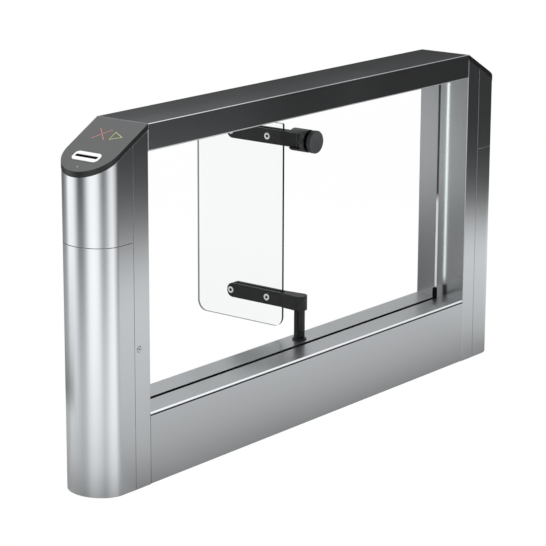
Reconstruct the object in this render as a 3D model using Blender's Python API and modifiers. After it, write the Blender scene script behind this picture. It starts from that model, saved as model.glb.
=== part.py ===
# Swing barrier gate: a steel gate body with a glazed window and one swinging glass leaf.
# Metres, +Z up. The origin is on the floor at the middle of the gate, +X runs along the gate
# and +Y is the side that the closed leaf reaches out to.
# Both posts are built once in the near post's place (at -X) and turned half round for the far one.

import math
import bpy
import bmesh
from mathutils import Vector

MM = 0.001

# Gate body
GATE_LENGTH = 1900 * MM
GATE_WIDTH = 180 * MM
GATE_HEIGHT = 1000 * MM
POST_LENGTH = 192 * MM
COVER_LENGTH = 130 * MM
END_CURVE_DEPTH = 75 * MM
BEAM_HEIGHT = 205 * MM
RAIL_DEPTH = 75 * MM
UPPER_COVER_HEIGHT = 310 * MM
SKIN = 2 * MM
SEAM = 1.5 * MM
FOOT_GAP = 1.5 * MM
BEND_RADIUS = 3 * MM
FIT = 0.3 * MM
OVERRUN = 20 * MM

# Sloping lids
LID_SLOPE = math.radians(29)
LID_EDGE = 16 * MM
LID_OVERHANG = 2.5 * MM
POCKET_DEPTH = 1.2 * MM

# Beam
TOP_SHEET = 2.5 * MM
LIP_RADIUS = 4 * MM
LIP_DROP = 9 * MM
SHADOW_GAP = 3 * MM
PANEL_TOP_FLANGE = 12 * MM
PANEL_FOOT_FLANGE = 15 * MM
CHASSIS_SHEET = 4 * MM
RIB_SHEET = 3 * MM
RIB_SHARES = (-0.5, -0.08, 0.46)
RIB_HOLE_WIDTH = 110 * MM
RIB_HOLE_HEIGHT = 120 * MM
RIB_HOLE_RISE = 30 * MM
PASSAGE_HEIGHT = 88 * MM

# Rail
RAIL_SHEET = 2.5 * MM
RAIL_BEND = 4 * MM
END_INSET = 1 * MM

# Fixed window pane and its seals
PANE_THICKNESS = 8 * MM
PANE_END_GAP = 25 * MM
SEAL_WALL = 2.7 * MM
BEAM_SEAL_DEPTH = 20 * MM
RAIL_SEAL_DEPTH = 20 * MM
SEAL_PROUD = 0.6 * MM
SEAL_FLOOR = 3 * MM
CLIP_HEIGHT = 32 * MM
CLIP_GRIP = 10 * MM
CLIP_WALL = 2.4 * MM

# Base plates and anchor bolts
BASE_PLATE = 6 * MM
BASE_CLEARANCE = 2 * MM
PLATE_INSET = 4.5 * MM
BOLT_RADIUS = 6 * MM
BOLT_HEAD_RADIUS = 10.5 * MM
BOLT_HEAD_HEIGHT = 8 * MM
BOLT_INSET = 24 * MM
WASHER_SHEET = 2 * MM

# Service doors, their pivots and locks
PIVOT_SETBACK = 30 * MM
PIVOT_INSET = 7 * MM
PIN_RADIUS = 4 * MM
PIN_LENGTH = 18 * MM
LUG_SHEET = 4 * MM
LUG_HALF_LENGTH = 9 * MM
LUG_INSET = 8 * MM
LUG_RISE = 12 * MM
LUG_DROP = 14 * MM
SHELF_SHEET = 3 * MM
SHELF_RISE = 1 * MM
LOCK_HEIGHT = 394 * MM
LOCK_SETBACK = 18 * MM
LOCK_RADIUS = 9 * MM
LOCK_PROUD = 1.5 * MM
LOCK_LENGTH = 25 * MM
KEYWAY_WIDTH = 2 * MM
KEYWAY_LENGTH = 8 * MM
KEYWAY_DEPTH = 3 * MM
CAM_LENGTH = 26 * MM
CAM_HALF_WIDTH = 4.5 * MM
CAM_SHEET = 3 * MM
KEEPER_SHEET = 2.5 * MM
KEEPER_DEPTH = 12 * MM
KEEPER_BASE = 20 * MM
KEEPER_REACH = 32 * MM
KEEPER_LIP = 16 * MM
KEEPER_HEIGHT = 20 * MM
KEEPER_GAP = 1 * MM

# Card reader, lights and board on each lid, as distances down the slope and along it
READER_DOWN = 161 * MM
BEZEL_LENGTH = 92 * MM
BEZEL_WIDTH = 35 * MM
BEZEL_CORNER = 13 * MM
BEZEL_PROUD = 1.8 * MM
BEZEL_FLANGE = 4 * MM
CARD_SLOT_LENGTH = 74 * MM
CARD_SLOT_WIDTH = 3.6 * MM
READER_DEPTH = 48 * MM
READER_SLOT_DEPTH = 34 * MM
CROSS_DOWN = 66 * MM
CROSS_SIDE = 21 * MM
CROSS_REACH = 30 * MM
CROSS_STROKE = 4 * MM
ARROW_DOWN = 67 * MM
ARROW_BASE_SIDE = 14 * MM
ARROW_TIP_SIDE = 55 * MM
ARROW_HALF_WIDTH = 19 * MM
ARROW_STROKE = 4.5 * MM
LENS_THICKNESS = 1.1 * MM
LAMP_DOWN = 203 * MM
LAMP_RADIUS = 2.2 * MM
BOARD_START = 36 * MM
BOARD_LENGTH = 62 * MM
BOARD_HALF_WIDTH = 62 * MM
BOARD_SHEET = 1.6 * MM
CHIP_HEIGHT = 5 * MM
CHIP_SIZE = 14 * MM

# Leaf pivot, shaft and drive
PIVOT_X = 67 * MM
PIVOT_Y = 40 * MM
SHAFT_RADIUS = 16.5 * MM
SPIGOT_RADIUS = 12 * MM
SPIGOT_LENGTH = 30 * MM
SHAFT_FOOT = 30 * MM
RUNNING_GAP = 0.4 * MM
RING_RADIUS = 21.5 * MM
RING_HEIGHT = 5 * MM
RING_CHAMFER = 1.5 * MM
BEARING_RADIUS = 29 * MM
BEARING_FLANGE_RADIUS = 36 * MM
BEARING_FLANGE = 4 * MM
BEARING_HEIGHT = 16 * MM
BRACKET_PLATE = 5 * MM
LOWER_SHELF_HEIGHT = 45 * MM
UPPER_SHELF_DROP = 29 * MM
DRIVE_WEB_Y = 86 * MM
DRIVE_FRONT_Y = -8 * MM
DRIVE_MARGIN = 48 * MM
BELT_CENTRES = 112 * MM
LEAF_PULLEY_RADIUS = 36 * MM
MOTOR_PULLEY_RADIUS = 13.6 * MM
PULLEY_FLANGE = 3 * MM
PULLEY_FLANGE_SHEET = 2 * MM
PULLEY_DROP = 34 * MM
BELT_WIDTH = 16 * MM
BELT_THICKNESS = 1.8 * MM
MOTOR_RADIUS = 27 * MM
MOTOR_STEP = 4 * MM
MOTOR_PULLEY_LIFT = 12.7 * MM
GEARBOX_HEIGHT = 32 * MM
MOTOR_SHAFT_RADIUS = 6 * MM
TERMINAL_BOX = 18 * MM

# Glass leaf and its clamping arms
LEAF_START = 64 * MM
LEAF_REACH = 396 * MM
LEAF_BELOW_ARM = 89 * MM
LEAF_ABOVE_ARM = 41 * MM
LEAF_CORNER = 32 * MM
LEAF_THICKNESS = 8 * MM
LOWER_ARM_RISE = 116 * MM
UPPER_ARM_DROP = 108 * MM
ARM_DEPTH = 44 * MM
ARM_WIDTH = 33 * MM
ARM_REACH = 268 * MM
ARM_CORNER = 20 * MM
ARM_NECK_END = 58 * MM
CHEEK_START = 60 * MM
BARREL_RADIUS = 23 * MM
BARREL_CHAMFER = 2 * MM
KNUCKLE_RADIUS = 16 * MM
TRUNNION_RADIUS = 6 * MM
TRUNNION_LENGTH = 9 * MM
NECK_TAPER = 3 * MM
KNUCKLE_NECK_TAPER = 2.5 * MM
CLAMP_PAD = 1.2 * MM
PAD_INSET = 1.5 * MM
INNER_SCREW_REACH = 114 * MM
OUTER_SCREW_MARGIN = 14 * MM
SCREW_REACHES = (INNER_SCREW_REACH, ARM_REACH - OUTER_SCREW_MARGIN)
SCREW_HEAD_RADIUS = 12.5 * MM
SCREW_HEAD = 2.4 * MM
SCREW_SINK = 1.6 * MM
SCREW_RADIUS = 5 * MM
SOCKET_RADIUS = 4 * MM

# Upper pivot housing, clamped through the pane
HUB_RADIUS = 34 * MM
HUB_BACK_Y = 72 * MM
HUB_SHOULDER = 7 * MM
HUB_SHOULDER_DROP = 9 * MM
HUB_SLOT_Y = 22 * MM
HUB_SLOT_CLEARANCE = 0.5 * MM
WASHER_THICKNESS = 1.6 * MM
WASHER_RADIUS = 30 * MM
SLEEVE_RADIUS = 15 * MM
CAP_BOLT_RADIUS = 8 * MM
CAP_BOLT_GRIP = 10 * MM
CAP_THICKNESS = 13 * MM
CAP_CHAMFER = 1.5 * MM

# Boxes inside the posts
UNIT_WIDTH = 90 * MM
UNIT_DEPTH = 56 * MM
CONTROLLER_HEIGHT = 220 * MM
SUPPLY_HEIGHT = 170 * MM
UNIT_BOTTOM = 130 * MM
UNIT_CORNER = 4 * MM
UNIT_STEP = 12 * MM

# Facets of round shapes
ROUND_STEPS = 24
SMALL_STEPS = 12
SCREW_STEPS = 18
BEND_STEPS = 3
CORNER_STEPS = 6
END_STEPS = 20
HEX_SIDES = 6
MERGE_DISTANCE = 0.01 * MM

# Places that follow from the sizes above
WINDOW_X = GATE_LENGTH / 2 - POST_LENGTH
SEAM_X = GATE_LENGTH / 2 - COVER_LENGTH
CURVE_X = GATE_LENGTH / 2 - END_CURVE_DEPTH
HALF_WIDTH = GATE_WIDTH / 2
RAIL_BOTTOM = GATE_HEIGHT - RAIL_DEPTH
COVER_SPLIT_HEIGHT = GATE_HEIGHT - UPPER_COVER_HEIGHT
LOWER_ARM_HEIGHT = BEAM_HEIGHT + LOWER_ARM_RISE
UPPER_ARM_HEIGHT = RAIL_BOTTOM - UPPER_ARM_DROP
LEAF_BOTTOM = LOWER_ARM_HEIGHT - LEAF_BELOW_ARM
LEAF_TOP = UPPER_ARM_HEIGHT + LEAF_ABOVE_ARM
LID_THICKNESS = LID_EDGE * math.cos(LID_SLOPE)
PANEL_TOP = BEAM_HEIGHT - LIP_DROP - SHADOW_GAP
SEAL_HALF = PANE_THICKNESS / 2 + FIT + SEAL_WALL
PANE_X = WINDOW_X - PANE_END_GAP
SEAL_X = PANE_X + CLIP_WALL
BEAM_SEAL_BOTTOM = BEAM_HEIGHT + SEAL_PROUD - BEAM_SEAL_DEPTH
RAIL_SEAL_TOP = RAIL_BOTTOM + RAIL_SEAL_DEPTH
HINGE_X = -SEAM_X - PIVOT_SETBACK
HINGE_Y = HALF_WIDTH - PIVOT_INSET
SHELF_HEIGHT = COVER_SPLIT_HEIGHT + SEAM / 2 + SHELF_RISE
LOCK_X = LOCK_SETBACK - SEAM_X
UPPER_SHELF_HEIGHT = BEAM_HEIGHT - UPPER_SHELF_DROP
PULLEY_BOTTOM = UPPER_SHELF_HEIGHT - PULLEY_DROP
PULLEY_TOP = PULLEY_BOTTOM + BELT_WIDTH + 2 * PULLEY_FLANGE_SHEET + 2 * RUNNING_GAP
MOTOR_TOP = PULLEY_BOTTOM - MOTOR_PULLEY_LIFT
MOTOR_CAN_TOP = MOTOR_TOP - GEARBOX_HEIGHT
MOTOR_X = PIVOT_X + BELT_CENTRES
HUB_FRONT_Y = PANE_THICKNESS / 2 + WASHER_THICKNESS + FIT
CAP_BACK_Y = -HUB_FRONT_Y
AXES = {'X': Vector((1, 0, 0)), 'Y': Vector((0, 1, 0))}
CHEEK_INNER = LEAF_THICKNESS / 2 + CLAMP_PAD + 2 * FIT


# Scene, collections and materials

def clear_scene():
    for obj in list(bpy.data.objects):
        bpy.data.objects.remove(obj, do_unlink=True)


def new_collection(name):
    collection = bpy.data.collections.new(name)
    bpy.context.scene.collection.children.link(collection)
    return collection


def make_material(name, colour, roughness, metallic, alpha=1.0):
    material = bpy.data.materials.new(name)
    material.use_nodes = True
    shader = material.node_tree.nodes["Principled BSDF"]
    shader.inputs["Base Color"].default_value = (*colour, 1.0)
    shader.inputs["Roughness"].default_value = roughness
    shader.inputs["Metallic"].default_value = metallic
    shader.inputs["Alpha"].default_value = alpha
    return material


clear_scene()
PARTS = new_collection("swing_barrier_gate")
CUTTERS = new_collection("cutters")

STEEL = make_material("brushed_steel", (0.60, 0.60, 0.61), 0.32, 1.0)
DARK_STEEL = make_material("dark_coated_steel", (0.05, 0.05, 0.055), 0.35, 0.6)
BLACK = make_material("satin_black", (0.02, 0.02, 0.022), 0.4, 0.3)
RUBBER = make_material("black_rubber", (0.015, 0.015, 0.015), 0.8, 0.0)
GLASS = make_material("clear_glass", (0.90, 0.96, 0.95), 0.02, 0.0, 0.35)
ZINC = make_material("zinc_plate", (0.62, 0.63, 0.62), 0.45, 1.0)
WHITE = make_material("white_plastic", (0.90, 0.90, 0.89), 0.35, 0.0)
GREY_BOX = make_material("grey_housing", (0.35, 0.36, 0.37), 0.5, 0.0)
BOARD_GREEN = make_material("circuit_board", (0.02, 0.12, 0.05), 0.5, 0.0)
RED_LENS = make_material("red_lens", (0.55, 0.06, 0.04), 0.3, 0.0)
GREEN_LENS = make_material("green_lens", (0.45, 0.60, 0.10), 0.3, 0.0)
BRIGHT_STEEL = make_material("polished_steel", (0.78, 0.78, 0.78), 0.18, 1.0)


def make_empty(name, location=(0, 0, 0), turn=(0, 0, 0), parent=None):
    empty = bpy.data.objects.new(name, None)
    empty.location = location
    empty.rotation_euler = turn
    empty.parent = parent
    PARTS.objects.link(empty)
    return empty


NEAR_POST = make_empty("near_post")
FAR_POST = make_empty("far_post", turn=(0, 0, math.pi))
POSTS = {"near": NEAR_POST, "far": FAR_POST}
LID_FRAMES = {side: make_empty(f"{side}_lid_frame", (-WINDOW_X, 0, GATE_HEIGHT),
                               (0, LID_SLOPE, math.pi), post) for side, post in POSTS.items()}


# Shapes

def object_from(bm, name, material=None, parent=None, location=(0, 0, 0), smooth=False):
    mesh = bpy.data.meshes.new(name)
    bm.to_mesh(mesh)
    bm.free()
    obj = bpy.data.objects.new(name, mesh)
    obj.location = location
    obj.parent = parent
    if material:
        mesh.materials.append(material)
    if smooth:
        mesh.shade_smooth()
        mesh.set_sharp_from_angle(angle=math.radians(35))
    PARTS.objects.link(obj)
    return obj


def make_guide(obj):
    PARTS.objects.unlink(obj)
    CUTTERS.objects.link(obj)
    obj.hide_render = True
    obj.display_type = 'WIRE'
    return obj


def combine(obj, other, operation):
    make_guide(other)
    modifier = obj.modifiers.new(f"{operation.lower()}_{other.name}", 'BOOLEAN')
    modifier.operation = operation
    modifier.solver = 'EXACT'
    modifier.object = other
    return obj


def cut(obj, *others):
    for other in others:
        combine(obj, other, 'DIFFERENCE')
    return obj


def join(obj, *others):
    for other in others:
        combine(obj, other, 'UNION')
    return obj


def box(name, low, high, material=None, parent=None, location=(0, 0, 0)):
    low = Vector(low)
    high = Vector(high)
    bm = bmesh.new()
    bmesh.ops.create_cube(bm, size=1.0)
    bmesh.ops.scale(bm, vec=high - low, verts=bm.verts)
    bmesh.ops.translate(bm, vec=(low + high) / 2, verts=bm.verts)
    return object_from(bm, name, material, parent, location)


def lay_along(bm, axis):
    # A shape made upright is turned so that its +Z runs along the named axis.
    if axis != 'Z':
        matrix = AXES[axis].to_track_quat('Z', 'Y').to_matrix()
        bmesh.ops.rotate(bm, cent=(0, 0, 0), matrix=matrix, verts=bm.verts)


def cylinder(name, radius, low, high, centre, axis='Z', material=None, parent=None,
             steps=ROUND_STEPS, location=(0, 0, 0)):
    # The centre gives the two coordinates across the axis, with a zero along it.
    bm = bmesh.new()
    bmesh.ops.create_cone(bm, cap_ends=True, segments=steps, radius1=radius, radius2=radius,
                          depth=high - low)
    bmesh.ops.translate(bm, vec=(0, 0, (low + high) / 2), verts=bm.verts)
    lay_along(bm, axis)
    bmesh.ops.translate(bm, vec=centre, verts=bm.verts)
    return object_from(bm, name, material, parent, location, smooth=True)


def turned(name, profile, centre, axis='Z', material=None, parent=None, bored=False,
           steps=ROUND_STEPS):
    # The profile lists radius and height from the top down its outer side.
    bm = bmesh.new()
    verts = [bm.verts.new((radius, 0, height)) for radius, height in profile]
    for first, second in zip(verts, verts[1:]):
        bm.edges.new((first, second))
    if bored:
        bm.edges.new((verts[-1], verts[0]))
    obj = object_from(bm, name, material, parent, centre)
    if axis != 'Z':
        obj.rotation_euler = AXES[axis].to_track_quat('Z', 'Y').to_euler()
    screw = obj.modifiers.new("turned", 'SCREW')
    screw.steps = steps
    screw.render_steps = steps
    screw.use_merge_vertices = True
    screw.merge_threshold = MERGE_DISTANCE
    screw.use_smooth_shade = True
    return obj


def outline_plate(name, outline, lift, material=None, parent=None, location=(0, 0, 0)):
    # A flat outline of 3-D points, thickened by the vector lift.
    bm = bmesh.new()
    face = bm.faces.new([bm.verts.new(point) for point in outline])
    bottom = bmesh.ops.extrude_face_region(bm, geom=[face], use_keep_orig=True)
    verts = [part for part in bottom["geom"] if isinstance(part, bmesh.types.BMVert)]
    bmesh.ops.translate(bm, vec=lift, verts=verts)
    bmesh.ops.recalc_face_normals(bm, faces=bm.faces)
    return object_from(bm, name, material, parent, location)


def folded_sheet(name, path, along, thickness, material=None, parent=None, location=(0, 0, 0)):
    # Sheet metal: the path is carried along a vector, and its thickness lies to the left
    # of the path when it is seen from the far end of that vector.
    bm = bmesh.new()
    verts = [bm.verts.new(point) for point in path]
    edges = [bm.edges.new(pair) for pair in zip(verts, verts[1:])]
    swept = bmesh.ops.extrude_edge_only(bm, edges=edges)
    new_verts = [part for part in swept["geom"] if isinstance(part, bmesh.types.BMVert)]
    bmesh.ops.translate(bm, vec=along, verts=new_verts)
    outward = (Vector(path[1]) - Vector(path[0])).cross(Vector(along))
    bmesh.ops.recalc_face_normals(bm, faces=bm.faces)
    if edges[0].link_faces[0].normal.dot(outward) < 0:
        bmesh.ops.reverse_faces(bm, faces=bm.faces)
    obj = object_from(bm, name, material, parent, location, smooth=True)
    solid = obj.modifiers.new("sheet", 'SOLIDIFY')
    solid.thickness = thickness
    solid.offset = -1.0
    solid.use_even_offset = True
    return obj


def arc(centre, radius, start, end, steps, plane='XY', depth=None):
    # Points on an arc, or on a half-ellipse where depth gives the other half axis.
    across = radius if depth is None else depth
    points = []
    for step in range(steps + 1):
        angle = start + (end - start) * step / steps
        first = across * math.cos(angle)
        second = radius * math.sin(angle)
        points.append(in_plane(centre, first, second, plane))
    return points


def in_plane(centre, first, second, plane):
    if plane == 'XY':
        return Vector(centre) + Vector((first, second, 0))
    if plane == 'YZ':
        return Vector(centre) + Vector((0, first, second))
    return Vector(centre) + Vector((first, 0, second))


def rounded_rectangle(half_length, half_width, corner, height, steps=CORNER_STEPS):
    # In XY, around the origin, at the given height.
    points = []
    for quarter, (sx, sy) in enumerate(((1, 1), (-1, 1), (-1, -1), (1, -1))):
        centre = (sx * (half_length - corner), sy * (half_width - corner), height)
        start = quarter * math.pi / 2
        points += arc(centre, corner, start, start + math.pi / 2, steps)
    return points


# Posts, in the near post's place

def lid_underside(x):
    return GATE_HEIGHT - LID_EDGE + math.tan(LID_SLOPE) * (x + WINDOW_X)


def trim_under_lid(wall, side):
    reach = 2 * POST_LENGTH
    above = box(f"{wall.name}_trim", (-reach, -reach, -LID_THICKNESS - FIT), (reach, reach, reach),
                parent=LID_FRAMES[side])
    return cut(wall, above)


def end_path(height, inset=0, overhang=0, start_x=None):
    # The rounded end in plan, from the back, round the end, to the front.
    half = HALF_WIDTH - inset
    depth = END_CURVE_DEPTH - inset + overhang
    start = -SEAM_X - SEAM / 2 if start_x is None else start_x
    curve = arc((-CURVE_X, 0, height), half, math.pi / 2, 3 * math.pi / 2, END_STEPS, depth=depth)
    return [Vector((start, half, height))] + curve + [Vector((start, -half, height))]


def make_column(side):
    post = POSTS[side]
    start = -SEAM_X + SEAM / 2
    bend_front = (-WINDOW_X - BEND_RADIUS, -HALF_WIDTH + BEND_RADIUS, FOOT_GAP)
    bend_back = (-WINDOW_X - BEND_RADIUS, HALF_WIDTH - BEND_RADIUS, FOOT_GAP)
    path = [Vector((start, -HALF_WIDTH, FOOT_GAP))]
    path += arc(bend_front, BEND_RADIUS, -math.pi / 2, 0, BEND_STEPS)
    path += arc(bend_back, BEND_RADIUS, 0, math.pi / 2, BEND_STEPS)
    path += [Vector((start, HALF_WIDTH, FOOT_GAP))]
    column = folded_sheet(f"{side}_column", path, (0, 0, GATE_HEIGHT), SKIN, STEEL, post)
    hole = cylinder(f"{side}_lock_hole", LOCK_RADIUS + FIT, -HALF_WIDTH - OVERRUN,
                    -HALF_WIDTH + OVERRUN, (LOCK_X, 0, LOCK_HEIGHT), 'Y', parent=post)
    # The cables' way from the post into the beam
    passage = box(f"{side}_cable_passage", (-WINDOW_X - OVERRUN, -RIB_HOLE_WIDTH / 2, RIB_HOLE_RISE),
                  (-WINDOW_X + OVERRUN, RIB_HOLE_WIDTH / 2, RIB_HOLE_RISE + PASSAGE_HEIGHT), parent=post)
    return cut(trim_under_lid(column, side), hole, passage)


def make_upper_cover(side):
    path = end_path(COVER_SPLIT_HEIGHT + SEAM / 2)
    cover = folded_sheet(f"{side}_upper_cover", path, (0, 0, GATE_HEIGHT - COVER_SPLIT_HEIGHT),
                         SKIN, STEEL, POSTS[side])
    return trim_under_lid(cover, side)


def about_hinge(points):
    return [point - Vector((HINGE_X, HINGE_Y, 0)) for point in points]


def make_door(side):
    # Its origin is on the pivot pins' axis.
    post = POSTS[side]
    hinge = (HINGE_X, HINGE_Y, 0)
    top = COVER_SPLIT_HEIGHT - SEAM / 2
    door = folded_sheet(f"{side}_door", about_hinge(end_path(FOOT_GAP)), (0, 0, top - FOOT_GAP),
                        SKIN, STEEL, post, hinge)
    skin_side = PIVOT_INSET - SKIN / 2
    for end, bottom in (("lower", LUG_RISE), ("upper", top - LUG_DROP)):
        lug = box(f"{side}_{end}_lug", (-LUG_HALF_LENGTH, -LUG_INSET, bottom),
                  (LUG_HALF_LENGTH, skin_side, bottom + LUG_SHEET), parent=post, location=hinge)
        hole = cylinder(f"{side}_{end}_lug_hole", PIN_RADIUS + FIT, bottom - LUG_SHEET,
                        bottom + 2 * LUG_SHEET, (0, 0, 0), parent=post, steps=SMALL_STEPS,
                        location=hinge)
        join(door, lug)
        cut(door, hole)
    return door


def make_keeper(side):
    # A cranked tongue behind the column's edge; the lock's cam turns up in front of its lip.
    base_y = -HALF_WIDTH + SKIN + FIT
    tongue_y = -HALF_WIDTH + KEEPER_DEPTH
    bottom = LOCK_HEIGHT + LOCK_RADIUS + KEEPER_GAP
    start_x = -SEAM_X - KEEPER_BASE - BASE_CLEARANCE
    turn_x = -SEAM_X - BASE_CLEARANCE
    tip_x = -SEAM_X + KEEPER_REACH
    path = [Vector((start_x, base_y, bottom)), Vector((turn_x, base_y, bottom)),
            Vector((turn_x, tongue_y, bottom)), Vector((tip_x, tongue_y, bottom)),
            Vector((tip_x, tongue_y + KEEPER_LIP, bottom))]
    return folded_sheet(f"{side}_keeper", about_hinge(path), (0, 0, KEEPER_HEIGHT), KEEPER_SHEET,
                        ZINC, POSTS[side], (HINGE_X, HINGE_Y, 0))


def make_shelf(side):
    inset = SKIN + 2 * FIT
    path = end_path(SHELF_HEIGHT, inset, start_x=-WINDOW_X - inset)
    shelf = outline_plate(f"{side}_shelf", path, (0, 0, SHELF_SHEET), ZINC, POSTS[side])
    pin = cylinder(f"{side}_upper_pin", PIN_RADIUS, SHELF_HEIGHT - SEAM - PIN_LENGTH,
                   SHELF_HEIGHT + SHELF_SHEET / 2, (HINGE_X, HINGE_Y, 0), parent=POSTS[side],
                   steps=SMALL_STEPS)
    return join(shelf, pin)


def make_base_plate(side):
    # It is cut away where the short edge of the door swings in.
    post = POSTS[side]
    inset = SKIN + PLATE_INSET
    column_inset = SKIN + 2 * FIT
    plate = outline_plate(f"{side}_base_plate", end_path(0, inset, start_x=-SEAM_X),
                          (0, 0, BASE_PLATE), ZINC, post)
    foot = box(f"{side}_column_foot", (-SEAM_X - OVERRUN, -HALF_WIDTH + column_inset, 0),
               (-WINDOW_X - column_inset, HALF_WIDTH - column_inset, BASE_PLATE), parent=post)
    swing = PIVOT_SETBACK + SEAM + BASE_CLEARANCE
    clear = cylinder(f"{side}_swing_clearance", swing, -OVERRUN, OVERRUN,
                     (HINGE_X, HINGE_Y, 0), parent=post)
    keep = box(f"{side}_pin_ground", (HINGE_X - 2 * swing, HINGE_Y - 2 * swing, -OVERRUN),
               (HINGE_X - PIN_RADIUS, HINGE_Y + 2 * swing, OVERRUN), parent=post)
    cut(clear, keep)
    pin_pad = box(f"{side}_pin_pad", (HINGE_X - swing, HINGE_Y - PIN_RADIUS, 0),
                  (HINGE_X, HINGE_Y + PIN_RADIUS - FIT, BASE_PLATE), parent=post)
    join(plate, foot)
    cut(plate, clear)
    join(plate, pin_pad)
    for index, place in enumerate(bolt_places()):
        join(plate, make_anchor_bolt(f"{side}_bolt_{index}", place, post))
    pin = cylinder(f"{side}_lower_pin", PIN_RADIUS, FIT, BASE_PLATE + PIN_LENGTH,
                   (HINGE_X, HINGE_Y, 0), parent=post, steps=SMALL_STEPS)
    return join(plate, pin)


def bolt_places():
    side_y = HALF_WIDTH - SKIN - BOLT_INSET
    return [Vector((-WINDOW_X - SKIN - BOLT_INSET, -side_y, 0)),
            Vector((-WINDOW_X - SKIN - BOLT_INSET, side_y, 0)),
            Vector((-GATE_LENGTH / 2 + SKIN + 2 * BOLT_INSET, 0, 0))]


def make_anchor_bolt(name, place, post):
    washer_top = BASE_PLATE + WASHER_SHEET
    head = cylinder(name, BOLT_HEAD_RADIUS, washer_top - WASHER_SHEET / 2,
                    washer_top + BOLT_HEAD_HEIGHT, place, parent=post, steps=HEX_SIDES)
    washer = cylinder(f"{name}_washer", BOLT_HEAD_RADIUS + WASHER_SHEET, BASE_PLATE / 2, washer_top,
                      place, parent=post, steps=SMALL_STEPS)
    thread = cylinder(f"{name}_end", BOLT_RADIUS, BASE_PLATE, washer_top + BOLT_HEAD_HEIGHT + BOLT_RADIUS,
                      place, parent=post, steps=SMALL_STEPS)
    return join(head, washer, thread)


def make_lock(side):
    # Its origin is on its own axis at the column's face; it turns about Y.
    post = POSTS[side]
    place = (LOCK_X, -HALF_WIDTH, LOCK_HEIGHT)
    profile = [(0, LOCK_LENGTH), (LOCK_RADIUS, LOCK_LENGTH), (LOCK_RADIUS, -LOCK_PROUD / 2),
               (LOCK_RADIUS - LOCK_PROUD / 2, -LOCK_PROUD), (0, -LOCK_PROUD)]
    lock = turned(f"{side}_lock", profile, place, 'Y', BRIGHT_STEEL, post, steps=SMALL_STEPS)
    cam = box(f"{side}_cam", (-CAM_LENGTH, LOCK_LENGTH - CAM_SHEET, -CAM_HALF_WIDTH),
              (0, LOCK_LENGTH - FIT, CAM_HALF_WIDTH), parent=post, location=place)
    keyway = box(f"{side}_keyway", (-KEYWAY_LENGTH / 2, -OVERRUN, -KEYWAY_WIDTH / 2),
                 (KEYWAY_LENGTH / 2, KEYWAY_DEPTH, KEYWAY_WIDTH / 2), parent=post, location=place)
    join(lock, cam)
    return cut(lock, keyway)


# Lids and what they carry. Each lid has its own frame: X down the slope, Z out of the lid.

def lid_outline(height, length, width, down, corner):
    points = rounded_rectangle(length / 2, width / 2, corner, height)
    return [Vector((down + point.y, point.x, height)) for point in reversed(points)]


def make_cross(side, name, reach, stroke, low, high, material=None):
    frame = LID_FRAMES[side]
    arms = []
    for turn in (math.pi / 4, 3 * math.pi / 4):
        bm = bmesh.new()
        bmesh.ops.create_cube(bm, size=1.0)
        bmesh.ops.scale(bm, vec=(2 * reach, stroke, high - low), verts=bm.verts)
        rotation = Vector((math.cos(turn), math.sin(turn), 0)).to_track_quat('X', 'Z').to_matrix()
        bmesh.ops.rotate(bm, cent=(0, 0, 0), matrix=rotation, verts=bm.verts)
        place = (CROSS_DOWN, -CROSS_SIDE, (low + high) / 2)
        bmesh.ops.translate(bm, vec=place, verts=bm.verts)
        arms.append(object_from(bm, name if not arms else f"{name}_arm", material, frame))
    return join(*arms)


def arrow_points(grow, height):
    # The triangle's corners, moved outwards by grow.
    middle = (2 * ARROW_BASE_SIDE + ARROW_TIP_SIDE) / 3
    corners = [(ARROW_DOWN - ARROW_HALF_WIDTH, ARROW_BASE_SIDE), (ARROW_DOWN, ARROW_TIP_SIDE),
               (ARROW_DOWN + ARROW_HALF_WIDTH, ARROW_BASE_SIDE)]
    points = []
    for x, y in corners:
        away = Vector((x - ARROW_DOWN, y - middle, 0))
        points.append(Vector((x, y, height)) + away.normalized() * grow * 2)
    return points


def make_arrow(side, name, grow, low, high, material=None):
    frame = LID_FRAMES[side]
    lift = (0, 0, high - low)
    arrow = outline_plate(name, arrow_points(grow, low), lift, material, frame)
    inner = outline_plate(f"{name}_inside", arrow_points(-ARROW_STROKE - grow, low - MM),
                          (0, 0, high - low + 2 * MM), parent=frame)
    return cut(arrow, inner)


def make_lid(side):
    post = POSTS[side]
    frame = LID_FRAMES[side]
    start = -WINDOW_X - FIT
    plan = end_path(0, overhang=LID_OVERHANG, start_x=start)
    outline = [Vector((point.x, point.y, lid_underside(point.x))) for point in plan]
    lid = outline_plate(f"{side}_lid", outline, (0, 0, LID_EDGE), DARK_STEEL, post)
    neck_length = BEZEL_LENGTH - 2 * BEZEL_FLANGE + 2 * FIT
    neck_width = BEZEL_WIDTH - 2 * BEZEL_FLANGE + 2 * FIT
    mouth = outline_plate(f"{side}_reader_mouth",
                          lid_outline(-OVERRUN, neck_length, neck_width, READER_DOWN,
                                      BEZEL_CORNER - BEZEL_FLANGE),
                          (0, 0, 2 * OVERRUN), parent=frame)
    cross = make_cross(side, f"{side}_cross_pocket", CROSS_REACH + FIT, CROSS_STROKE + 2 * FIT,
                       -POCKET_DEPTH - FIT, OVERRUN)
    arrow = make_arrow(side, f"{side}_arrow_pocket", FIT, -POCKET_DEPTH - FIT, OVERRUN)
    lamp = cylinder(f"{side}_lamp_hole", LAMP_RADIUS + FIT, -OVERRUN, OVERRUN,
                    (LAMP_DOWN, 0, 0), parent=frame, steps=SMALL_STEPS)
    return cut(lid, mouth, cross, arrow, lamp)


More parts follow.
